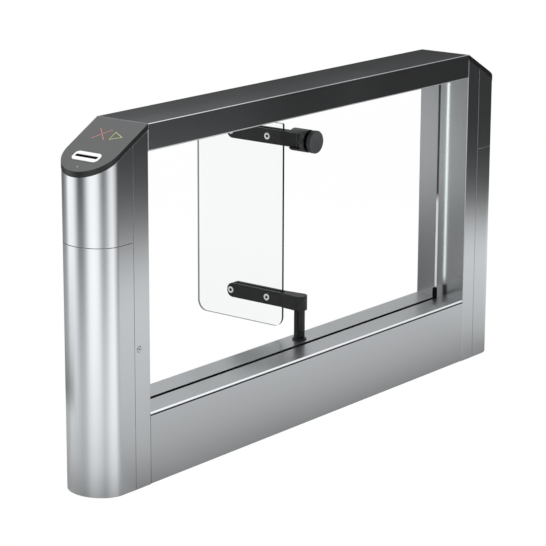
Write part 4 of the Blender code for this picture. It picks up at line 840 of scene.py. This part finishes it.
def build_beam():
    lip = BEAM_TOP - 5.5
    chamfer = 3.6
    inside = HALF_WIDTH - SHEET
    outside = [(-HALF_WIDTH, lip, 0), (-HALF_WIDTH, BEAM_TOP - chamfer, 0.5),
               (chamfer - HALF_WIDTH, BEAM_TOP, 0.5)]
    within = [(inside, lip, 0), (inside, BEAM_TOP - 4, 0.3), (inside - 1.5, BEAM_TOP - SHEET, 0.3)]
    top = beam_length(rounded_profile(with_mirror(outside) + with_mirror(within), 6))
    plate = make_piece("beam_top_plate", top, SILL_STEEL, GATE, "beam_top")
    slot_end = SEAL_END + FIT
    slot = block((-slot_end, -SLOT_HALF, 190), (slot_end, SLOT_HALF, 220))
    shape_with(plate, 'DIFFERENCE', slot, rod(COLLAR_BORE, 190, 220, place=PIVOT, steps=64))
    round_edges(plate, 0.3)
    # The chamfers along the top plate's edges take the brighter lip steel: a painted highlight.
    paint_faces(plate, LIP_PAINTED_HIGHLIGHT_STEEL, lambda normal: normal.z > 0.15 and abs(normal.y) > 0.15)
    panel_top = 197.5
    panel_foot = FOOT_GAP + SKIN
    outline = rounded_profile([
        (75, FOOT_GAP, 0), (HALF_WIDTH, FOOT_GAP, 2.6), (HALF_WIDTH, panel_top, 2.2), (78, panel_top, 0),
        (78, panel_top - SKIN, 0), (88, panel_top - SKIN, 0.6), (88, panel_foot, 0.6), (75, panel_foot, 0)])
    for name, side in (("front", -1), ("back", 1)):
        skin = beam_length([(side * y, z) for y, z in outline])
        panel = make_piece(f"beam_{name}_skin", skin, BEAM_STEEL, GATE, f"beam_{name}_panel")
        round_edges(panel, 0.25)
        # The panel's upward faces, its top lip among them, are painted black: painted shade in the gap
        # under the top plate.
        paint_faces(panel, RUBBER_AND_GAP_SHADE, lambda normal: normal.z > 0.4)


def build_rail():
    inside = HALF_WIDTH - SHEET
    low, high = RAIL_LOW + SHEET, GATE_TOP - SHEET
    outside = [(SLOT_HALF, RAIL_LOW, 0), (HALF_WIDTH, RAIL_LOW, 4), (HALF_WIDTH, GATE_TOP, 2.4)]
    within = [(-SLOT_HALF, low, 0), (-inside, low, 1.5), (-inside, high, 1.5)]
    section = beam_length(rounded_profile(with_mirror(outside) + with_mirror(within), 6))
    rail = make_piece("rail_section", section, RAIL_PAINTED_FALLOFF_METAL, GATE, "top_rail")
    round_edges(rail, 0.25)
    # The top faces take the darker copy of the rail steel: painted shade.
    paint_faces(rail, RAIL_TOP_PAINTED_SHADE_METAL, lambda normal: normal.z > 0.9)


def build_seals():
    for name, lip, groove, back, step in (("beam", 205.6, 188.6, 185.6, 0.8),
                                          ("rail", 925, 942, 945, -0.8)):
        half = [(-7, back), (-7, lip - step), (-6.2, lip), (-4.9, lip), (-4.3, lip - step), (-4.3, groove)]
        strip = prism(with_mirror(half), -SEAL_END, SEAL_END, 'X')
        make_piece(f"{name}_seal_strip", strip, RUBBER_AND_GAP_SHADE, GATE, f"{name}_seal")
    half = [(-SEAL_END, -5.2, 0.8), (-724, -5.2, 0.3), (-724, -4.3, 0.3), (-733.3, -4.3, 0)]
    for side in ("near", "far"):
        clip = prism(rounded_profile(with_mirror(half, 1), 3), 205.9, 237.9)
        round_edges(side_piece(side, "clip_block", clip, RUBBER_AND_GAP_SHADE, node="pane_clip"), 0.25)


# Hub and leaf

ARM_HALF = 22
ARM_SIDE = 16.5
NECK_END = 60
ARMS = (("lower", LOWER_ARM), ("upper", UPPER_ARM))
SCREWS = (("inner", 114), ("outer", 254))


def pivot_at(height, reach=0):
    return (PIVOT.x, PIVOT.y + reach * MM, height * MM)


def build_hub():
    place = (PIVOT.x, 0, UPPER_ARM * MM)
    radius = 34
    profile = [(0, 72), (23.6, 72), (24.6, 71.6), (33.2, 65.6), (33.8, 64.8), (radius, 63.8), (radius, 7),
               (33.3, 6.2), (0, 6.2)]
    hub = make_piece("hub_shell", lathe(profile, ALONG_Y, place), HUB_BLACK, GATE, "hub_housing")
    slot = block((-40, 22, UPPER_ARM - 22.5), (140, 100, UPPER_ARM + 22.5))
    pin = rod(6.3, UPPER_ARM - 31.5, UPPER_ARM + 31.5, place=PIVOT, steps=40)
    shape_with(hub, 'DIFFERENCE', slot, pin)
    round_edges(hub, 0.5, 3, 45.0)
    grub = [(0, -4), (3.6, -4), (3.6, 0.8), (3.2, 1.2), (1.6, 1.2), (1.6, 0.1), (0, 0.1)]
    screw = lathe(grub, (-1, 0, 0), (PIVOT.x - (radius - 0.6) * MM, 14 * MM, UPPER_ARM * MM), 32)
    make_piece("hub_grub_screw", screw, SHAFT_BLACK, GATE)
    ring = [(30, 5.9), (30, 4.3), (15, 4.3), (15, -4.3), (30, -4.3), (30, -5.9), (8.3, -5.9), (8.3, 5.9)]
    make_piece("hub_washers", lathe(ring, ALONG_Y, place, ring=True), RUBBER_AND_GAP_SHADE, GATE, "hub_gasket")
    cap = [(0, 15.6), (8, 15.6), (8, -6.2), (33.4, -6.2), (radius, -6.8), (radius, -17.2), (33.4, -18.4),
           (32.2, -19.1), (30.5, -19.3), (12, -17.6), (0, -17.2)]
    front = make_piece("hub_front_cap", lathe(cap, ALONG_Y, place), HUB_BLACK, GATE, "hub_cap")
    paint_faces(front, HUB_FACE, lambda normal: normal.y < -0.5)


def cheek(side, start, middle):
    # One side of a clamp: square at the neck and round at its tip.
    corner = 20
    tip = 268 - corner
    outline = [(start, -ARM_HALF)]
    outline += arc((tip, corner - ARM_HALF), corner, -math.pi / 2, 0, 12)
    outline += arc((tip, ARM_HALF - corner), corner, 0, math.pi / 2, 12)
    outline += [(start, ARM_HALF)]
    return prism(outline, side * 5.8, side * ARM_SIDE, 'X', pivot_at(middle))


def screw_seats(middle):
    profile = with_mirror([(0, 33), (10.6, 33), (10.6, 14.9), (SCREW_BORE, 14.9)], 1)
    return [lathe(profile, ALONG_X, pivot_at(middle, reach), 48) for _, reach in SCREWS]


def build_screw(name, reach, middle):
    # A disc with a turned face and a ring round the socket at both ends.
    top = 17.6
    floor = top - 1
    head = [(0, floor), (4.6, floor), (4.9, top - 0.2), (5.2, top), (9.6, top), (10.1, top - 0.3),
            (10.3, top - 0.8), (10.3, 15.2), (5, 15.2)]
    x, y, z = pivot_at(middle, reach)
    disc = lathe(with_mirror(head, 1), ALONG_X, (x, y, z), 56)
    make_piece(f"{name}_disc", disc, SCREW_STEEL, LEAF, name)
    rim = [(0, 0.4), (2.6, 0.4), (2.6, 1.1), (3.9, 1.1), (4.4, 0.7), (4.4, 0.05), (0, 0.05)]
    sockets = [lathe(rim, (side, 0, 0), (x + side * floor * MM, y, z), 24) for side in (-1, 1)]
    make_piece(f"{name}_sockets", merged(*sockets), SHAFT_BLACK, LEAF)


def build_arm(name, middle):
    low = middle - ARM_HALF
    high = middle + ARM_HALF
    neck = [(ARM_SIDE, NECK_END), (-ARM_SIDE, NECK_END)]
    cutters = screw_seats(middle)
    if name == "lower":
        # Round at the pivot, then a straight taper.
        boss = 23
        lean = math.acos((ARM_SIDE - boss) / NECK_END) - math.pi / 2
        plan = arc((0, 0), boss, math.pi + lean, math.tau - lean, 40) + neck
        casting = prism(plan, low, high, place=PIVOT)
        cutters.append(rod(12.3, low - 5, middle + 8, place=PIVOT, steps=40))
    else:
        profile = with_mirror([(0, 31), (6, 31), (6, ARM_HALF), (16, ARM_HALF)], 1)
        casting = lathe(profile, place=pivot_at(middle), steps=48)
    arm = make_piece(f"{name}_arm_casting", casting, ARM_BLACK, LEAF, f"{name}_arm")
    if name == "upper":
        shape_with(arm, 'UNION', prism([(-14, 0), (14, 0)] + neck, low, high, place=PIVOT))
    shape_with(arm, 'UNION', cheek(1, NECK_END - 0.5, middle))
    shape_with(arm, 'DIFFERENCE', *cutters)
    round_edges(arm, 1.8, 3, 40.0)
    plate = make_piece(f"{name}_clamp_cheek", cheek(-1, NECK_END + FIT, middle), ARM_BLACK, LEAF,
                       f"{name}_clamp_plate")
    shape_with(plate, 'DIFFERENCE', *screw_seats(middle))
    round_edges(plate, 1.1, 3, 40.0)
    for place, reach in SCREWS:
        build_screw(f"{name}_{place}_screw", reach, middle)


def build_leaf_glass():
    start, end = 104, 436
    low, high = 232, 858
    corner = 32
    outline = rounded_profile([(start, low, corner), (end, low, corner), (end, high, corner),
                               (start, high, 4)], 14)
    sheet = prism(outline, -4, 4, 'X', (PIVOT.x, 0, 0))
    glass = make_piece("leaf_glass_sheet", sheet, LEAF_GLASS, LEAF, "leaf_glass")
    holes = [rod(SCREW_BORE, -20, 20, ALONG_X, pivot_at(middle, reach))
             for _, reach in SCREWS for _, middle in ARMS]
    shape_with(glass, 'DIFFERENCE', *holes)


def toothed_pulley():
    # The rim between the flanges has the belt's round-bottomed teeth.
    radius, flange = 36, 39
    sheet = 2
    teeth = 45
    outline = []
    for tooth in range(teeth):
        for share, depth in ((0, 0), (0.45, 0), (0.55, 0.9), (0.72, 1.2), (0.9, 0.9)):
            angle = (tooth + share) * math.tau / teeth
            outline.append(((radius - depth) * math.cos(angle), (radius - depth) * math.sin(angle)))
    rim = prism(outline, PULLEY_LOW + sheet, PULLEY_HIGH - sheet, place=PIVOT)
    plates = [lathe([(0, top), (flange - 0.5, top), (flange, top - 0.5), (flange, top - sheet),
                     (0, top - sheet)], place=PIVOT)
              for top in (PULLEY_HIGH, PULLEY_LOW + sheet)]
    return merged(rim, *plates)


def build_shaft():
    top = LOWER_ARM - ARM_HALF - FIT
    radius = 16.5
    spigot = 12
    foot = 30
    profile = [(0, top + 30), (spigot - 0.6, top + 30), (spigot, top + 29.4), (spigot, top), (16, top),
               (radius, top - 0.5), (radius, foot + 1), (radius - 1, foot), (0, foot)]
    make_piece("leaf_shaft_turned", lathe(profile, place=PIVOT), SHAFT_BLACK, LEAF, "leaf_shaft")
    make_piece("leaf_shaft_pulley", toothed_pulley(), ZINC, LEAF)
    base = BEAM_TOP + FIT
    ring = [(19.8, base + 5), (20.9, base + 4.6), (21.5, base + 3.6), (21.5, base), (COLLAR_BORE, base),
            (COLLAR_BORE, base + 4.4), (17.6, base + 5)]
    make_piece("shaft_collar", lathe(ring, place=PIVOT, ring=True), SHAFT_BLACK, GATE, "shaft_ring")


CAD_FINISHES = {
    ZINC: ("beam_chassis", "near_base_plate", "far_base_plate", "near_shelf", "far_shelf", "drive_bracket",
           "power_supply", "motor_pulley"),
    GREY_PLASTIC: ("controller_box",),
    MOTOR_PAINT: ("gearmotor",),
    READER_PLASTIC: ("near_card_reader", "far_card_reader"),
    BEARING_STEEL: ("lower_bearing", "upper_bearing"),
    BELT_RUBBER: ("drive_belt",),
    RUBBER_AND_GAP_SHADE: ("lower_clamp_pad", "upper_clamp_pad"),
    BOARD_LACQUER: ("near_indicator_board", "far_indicator_board"),
    CROSS_LENS: ("near_cross_light", "far_cross_light"),
    ARROW_LENS: ("near_arrow_light", "far_arrow_light"),
    WINDOW_GLASS: ("window_pane",),
}


def finish_cad_nodes():
    for material, nodes in CAD_FINISHES.items():
        for node in nodes:
            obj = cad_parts[node]
            if not obj.material_slots:
                obj.data.materials.append(material)
            for held in obj.material_slots:
                held.material = material


# Studio

def build_floor():
    bm = bmesh.new()
    bmesh.ops.create_grid(bm, x_segments=1, y_segments=1, size=30.0)
    mesh = bpy.data.meshes.new("studio_floor")
    bm.to_mesh(mesh)
    bm.free()
    floor = link_object("studio_floor", mesh)
    floor.location = (0, 0, -0.0005)
    shader = Shader("studio_floor_paper")
    path = shader.node("LightPath")
    x, y, _ = shader.parts(shader.place()).values()
    # Near the gate: its contact shadow, darker behind it.
    aside = shader.sum_of('MAXIMUM', abs(x) - (CURVE_X + END_CURVE) * MM, 0.0)
    ahead = shader.sum_of('MAXIMUM', abs(y) - HALF_WIDTH * MM, 0.0)
    clear = (aside ** 2 + ahead ** 2) ** 0.5 / CONTACT_REACH
    near_side = shader.level(clear, FRONT_CONTACT)
    back_side = shader.level(clear, BACK_CONTACT)
    from_post = x + CURVE_X * MM
    reach = (from_post ** 2 + y ** 2) ** 0.5 / BAND_REACH
    turn = shader.sum_of('ARCTAN2', y, from_post) / math.tau + 0.5
    behind = (shader.level(turn, ((0.50, 0.0), (0.58, 1.0), (0.83, 1.0), (0.88, 0.0)))
              * shader.level(reach, ((0.18, 0.0), (0.235, 1.0))))
    contact = near_side + (back_side - near_side) * behind
    # Farther off: bands of light round the near post, and the apron before the window.
    distance = shader.level(reach, ((0.0, 0.2), (0.2, 0.34), (0.45, 0.58), (0.75, 0.84), (1.0, 1.0)))
    bands = BAND_MEAN + (shader.level(turn, POST_BANDS) - BAND_MEAN) * distance
    spread = ((x - 0.9) ** 2 + (y - 0.1) ** 2) ** 0.5
    apron = shader.level(spread / APRON_REACH, APRON)
    front = shader.level(turn, ((0.32, 0.0), (0.37, 1.0), (0.58, 1.0), (0.66, 0.0)))
    seen_level = (bands + (apron - bands) * front) * contact
    dark = shader.light("Emission", grey(0.0), 0.0)
    lit_floor = shader.blend(seen_level, dark, shader.light("Emission", (1.37, 1.40, 1.42, 1)))
    through = shader.node("BsdfTransparent", None, {"Color": grey(1.0)})
    round_post = shader.level(turn, ((0.30, 1.0), (0.36, 0.0), (0.83, 0.0), (0.88, 1.0)))
    mirrored = shader.blend(round_post, lit_floor, shader.blend(contact, dark, through))
    fibres = shader.noise(40.0, 3.0, 0.6)
    shader.finish(Base_Color=shader.mix(fibres, grey(0.78), grey(0.82)), Roughness=0.9)
    seen = shader.blend(shader.out(path, "Is Glossy Ray"), shader.surface, mirrored)
    shader.show(shader.blend(shader.out(path, "Is Camera Ray"), seen, shader.light("Emission", grey(1.0))))
    mesh.materials.append(shader.owner)


def build_sky():
    # Camera rays see plain white. Gloss sees a dark horizon under a wide soft box, and where the
    # floor lets it through beside the near post, tall light and dark screens.
    world = bpy.data.worlds.new("studio_sky")
    bpy.context.scene.world = world
    shader = Shader("studio_sky", world)
    path = shader.node("LightPath")
    x, y, z = shader.parts(shader.place("Generated")).values()
    turn = shader.sum_of('ARCTAN2', y, x) / math.tau + 0.5
    above = shader.level(turn, SKY_SIDES) * shader.level(z, SKY_HEIGHTS)
    far_screens = shader.level(turn, FAR_SCREENS)
    near_screens = shader.level(turn, NEAR_SCREENS)
    nearness = shader.level(0.0 - z * 2.0, ((0.43, 0.0), (0.60, 1.0)))
    below = far_screens + (near_screens - far_screens) * nearness
    horizon = shader.level(z + 0.5, ((0.34, 0.0), (0.40, 1.0)))
    bright = shader.light("Background", (1.46, 1.50, 1.52, 1))
    dark = shader.light("Background", grey(0.0), 0.0)
    studio = shader.blend((below + (above - below) * horizon) * 0.933, dark, bright)
    soft = shader.light("Background", grey(1.0), 0.9)
    lit = shader.blend(shader.out(path, "Is Glossy Ray"), soft, studio)
    shader.show(shader.blend(shader.out(path, "Is Camera Ray"), lit, shader.light("Background", grey(1.0))))


# What gloss sees in the studio. Turns run from -X (0) through -Y (0.25), +X (0.5) and +Y (0.75),
# and each table lists a turn, a height or a share of its reach in metres, with the tone there.
CONTACT_REACH = 2.5
BAND_REACH = 4.2
APRON_REACH = 5.0
BAND_MEAN = 0.62
FRONT_CONTACT = ((0.0, 0.38), (0.02, 0.44), (0.048, 0.52), (0.08, 0.61), (0.12, 0.68), (0.24, 0.8),
                 (0.48, 0.93), (0.8, 1.0))
BACK_CONTACT = ((0.0, 0.22), (0.20, 0.24), (0.30, 0.30), (0.39, 0.475), (0.48, 0.63), (0.57, 0.77),
                (0.68, 0.85), (1.0, 1.0))
POST_BANDS = ((0.0, 0.62), (0.014, 0.80), (0.056, 0.98), (0.080, 0.96), (0.097, 0.77), (0.128, 0.40),
              (0.161, 0.20), (0.192, 0.31), (0.231, 0.66), (0.261, 0.74), (0.30, 0.52), (0.345, 0.15),
              (0.37, 0.12), (0.60, 0.12), (0.74, 0.14), (0.785, 0.35), (0.805, 0.78), (0.82, 0.93),
              (0.856, 0.86), (0.889, 0.58), (0.922, 0.17), (0.95, 0.12), (0.972, 0.24), (1.0, 0.62))
FAR_SCREENS = ((0.0, 0.60), (0.014, 0.84), (0.042, 0.99), (0.071, 1.0), (0.101, 0.83), (0.131, 0.30),
               (0.161, 0.05), (0.194, 0.20), (0.228, 0.62), (0.267, 0.80), (0.317, 0.42), (0.367, 0.12),
               (0.60, 0.12), (0.75, 0.15), (0.785, 0.35), (0.805, 0.80), (0.833, 1.0), (0.866, 0.98),
               (0.898, 0.50), (0.922, 0.04), (0.958, 0.0), (0.986, 0.32), (1.0, 0.60))
NEAR_SCREENS = ((0.0, 0.88), (0.03, 0.92), (0.06, 0.90), (0.10, 0.82), (0.14, 0.74), (0.17, 0.86),
                (0.21, 1.0), (0.28, 1.0), (0.33, 0.68), (0.45, 0.62), (0.78, 0.80), (0.85, 0.66),
                (0.93, 0.62), (0.955, 0.66), (0.98, 0.77), (1.0, 0.88))
APRON = ((0.0, 0.60), (0.30, 0.60), (0.37, 0.50), (0.44, 0.26), (0.50, 0.10), (0.56, 0.062), (0.62, 0.055),
         (0.68, 0.04), (0.8, 0.03))
SKY_SIDES = ((0.0, 1.0), (0.25, 0.85), (0.45, 0.95), (0.62, 1.0), (0.8, 0.9), (1.0, 1.0))
SKY_HEIGHTS = ((0.0, 0.02), (0.14, 0.025), (0.17, 0.05), (0.20, 0.11), (0.23, 0.22), (0.26, 0.33),
               (0.30, 0.38), (0.38, 0.40), (0.48, 0.58), (0.6, 0.85), (1.0, 1.0))


def add_light(name, place, size, power):
    # A soft lamp aimed at the middle of the gate.
    data = bpy.data.lights.new(name, 'AREA')
    data.energy = power
    data.size = size
    light = link_object(name, data)
    light.visible_glossy = False
    light.location = place
    light.rotation_euler = (Vector((0, 0, 0.5)) - Vector(place)).to_track_quat('-Z', 'Y').to_euler()


def build_camera():
    azimuth = math.radians(-51.706)
    elevation = math.radians(14.351)
    roll = math.radians(0.2414)
    data = bpy.data.cameras.new("photo_camera")
    data.lens = 150.5
    data.sensor_width = 36.0
    data.clip_start = 0.1
    data.clip_end = 100.0
    camera = link_object("photo_camera", data)
    forward = Vector((-math.sin(azimuth) * math.cos(elevation), math.cos(azimuth) * math.cos(elevation),
                      -math.sin(elevation)))
    right = forward.cross(Vector((0, 0, 1))).normalized()
    up = right.cross(forward)
    side = right * math.cos(roll) + up * math.sin(roll)
    top = up * math.cos(roll) - right * math.sin(roll)
    camera.matrix_world = Matrix((side, top, -forward)).transposed().to_4x4()
    camera.location = (-5.1811, -4.0018, 2.1057)
    bpy.context.scene.camera = camera


for post in ("near", "far"):
    build_column(post)
    build_upper_cover(post)
    build_door(post)
    build_lock(post)
    build_lid(post)
    build_lights(post)
    build_bezel(post)
build_beam()
build_rail()
build_seals()
build_hub()
for arm_name, arm_height in ARMS:
    build_arm(arm_name, arm_height)
build_leaf_glass()
build_shaft()
flatten_shading()
finish_cad_nodes()
build_floor()
build_sky()
add_light("key_light", (-2.2, -3.0, 3.2), 1.6, 60)
add_light("back_light", (1.5, 3.0, 2.6), 1.8, 45)
build_camera()
bpy.context.scene.view_settings.view_transform = 'Standard'
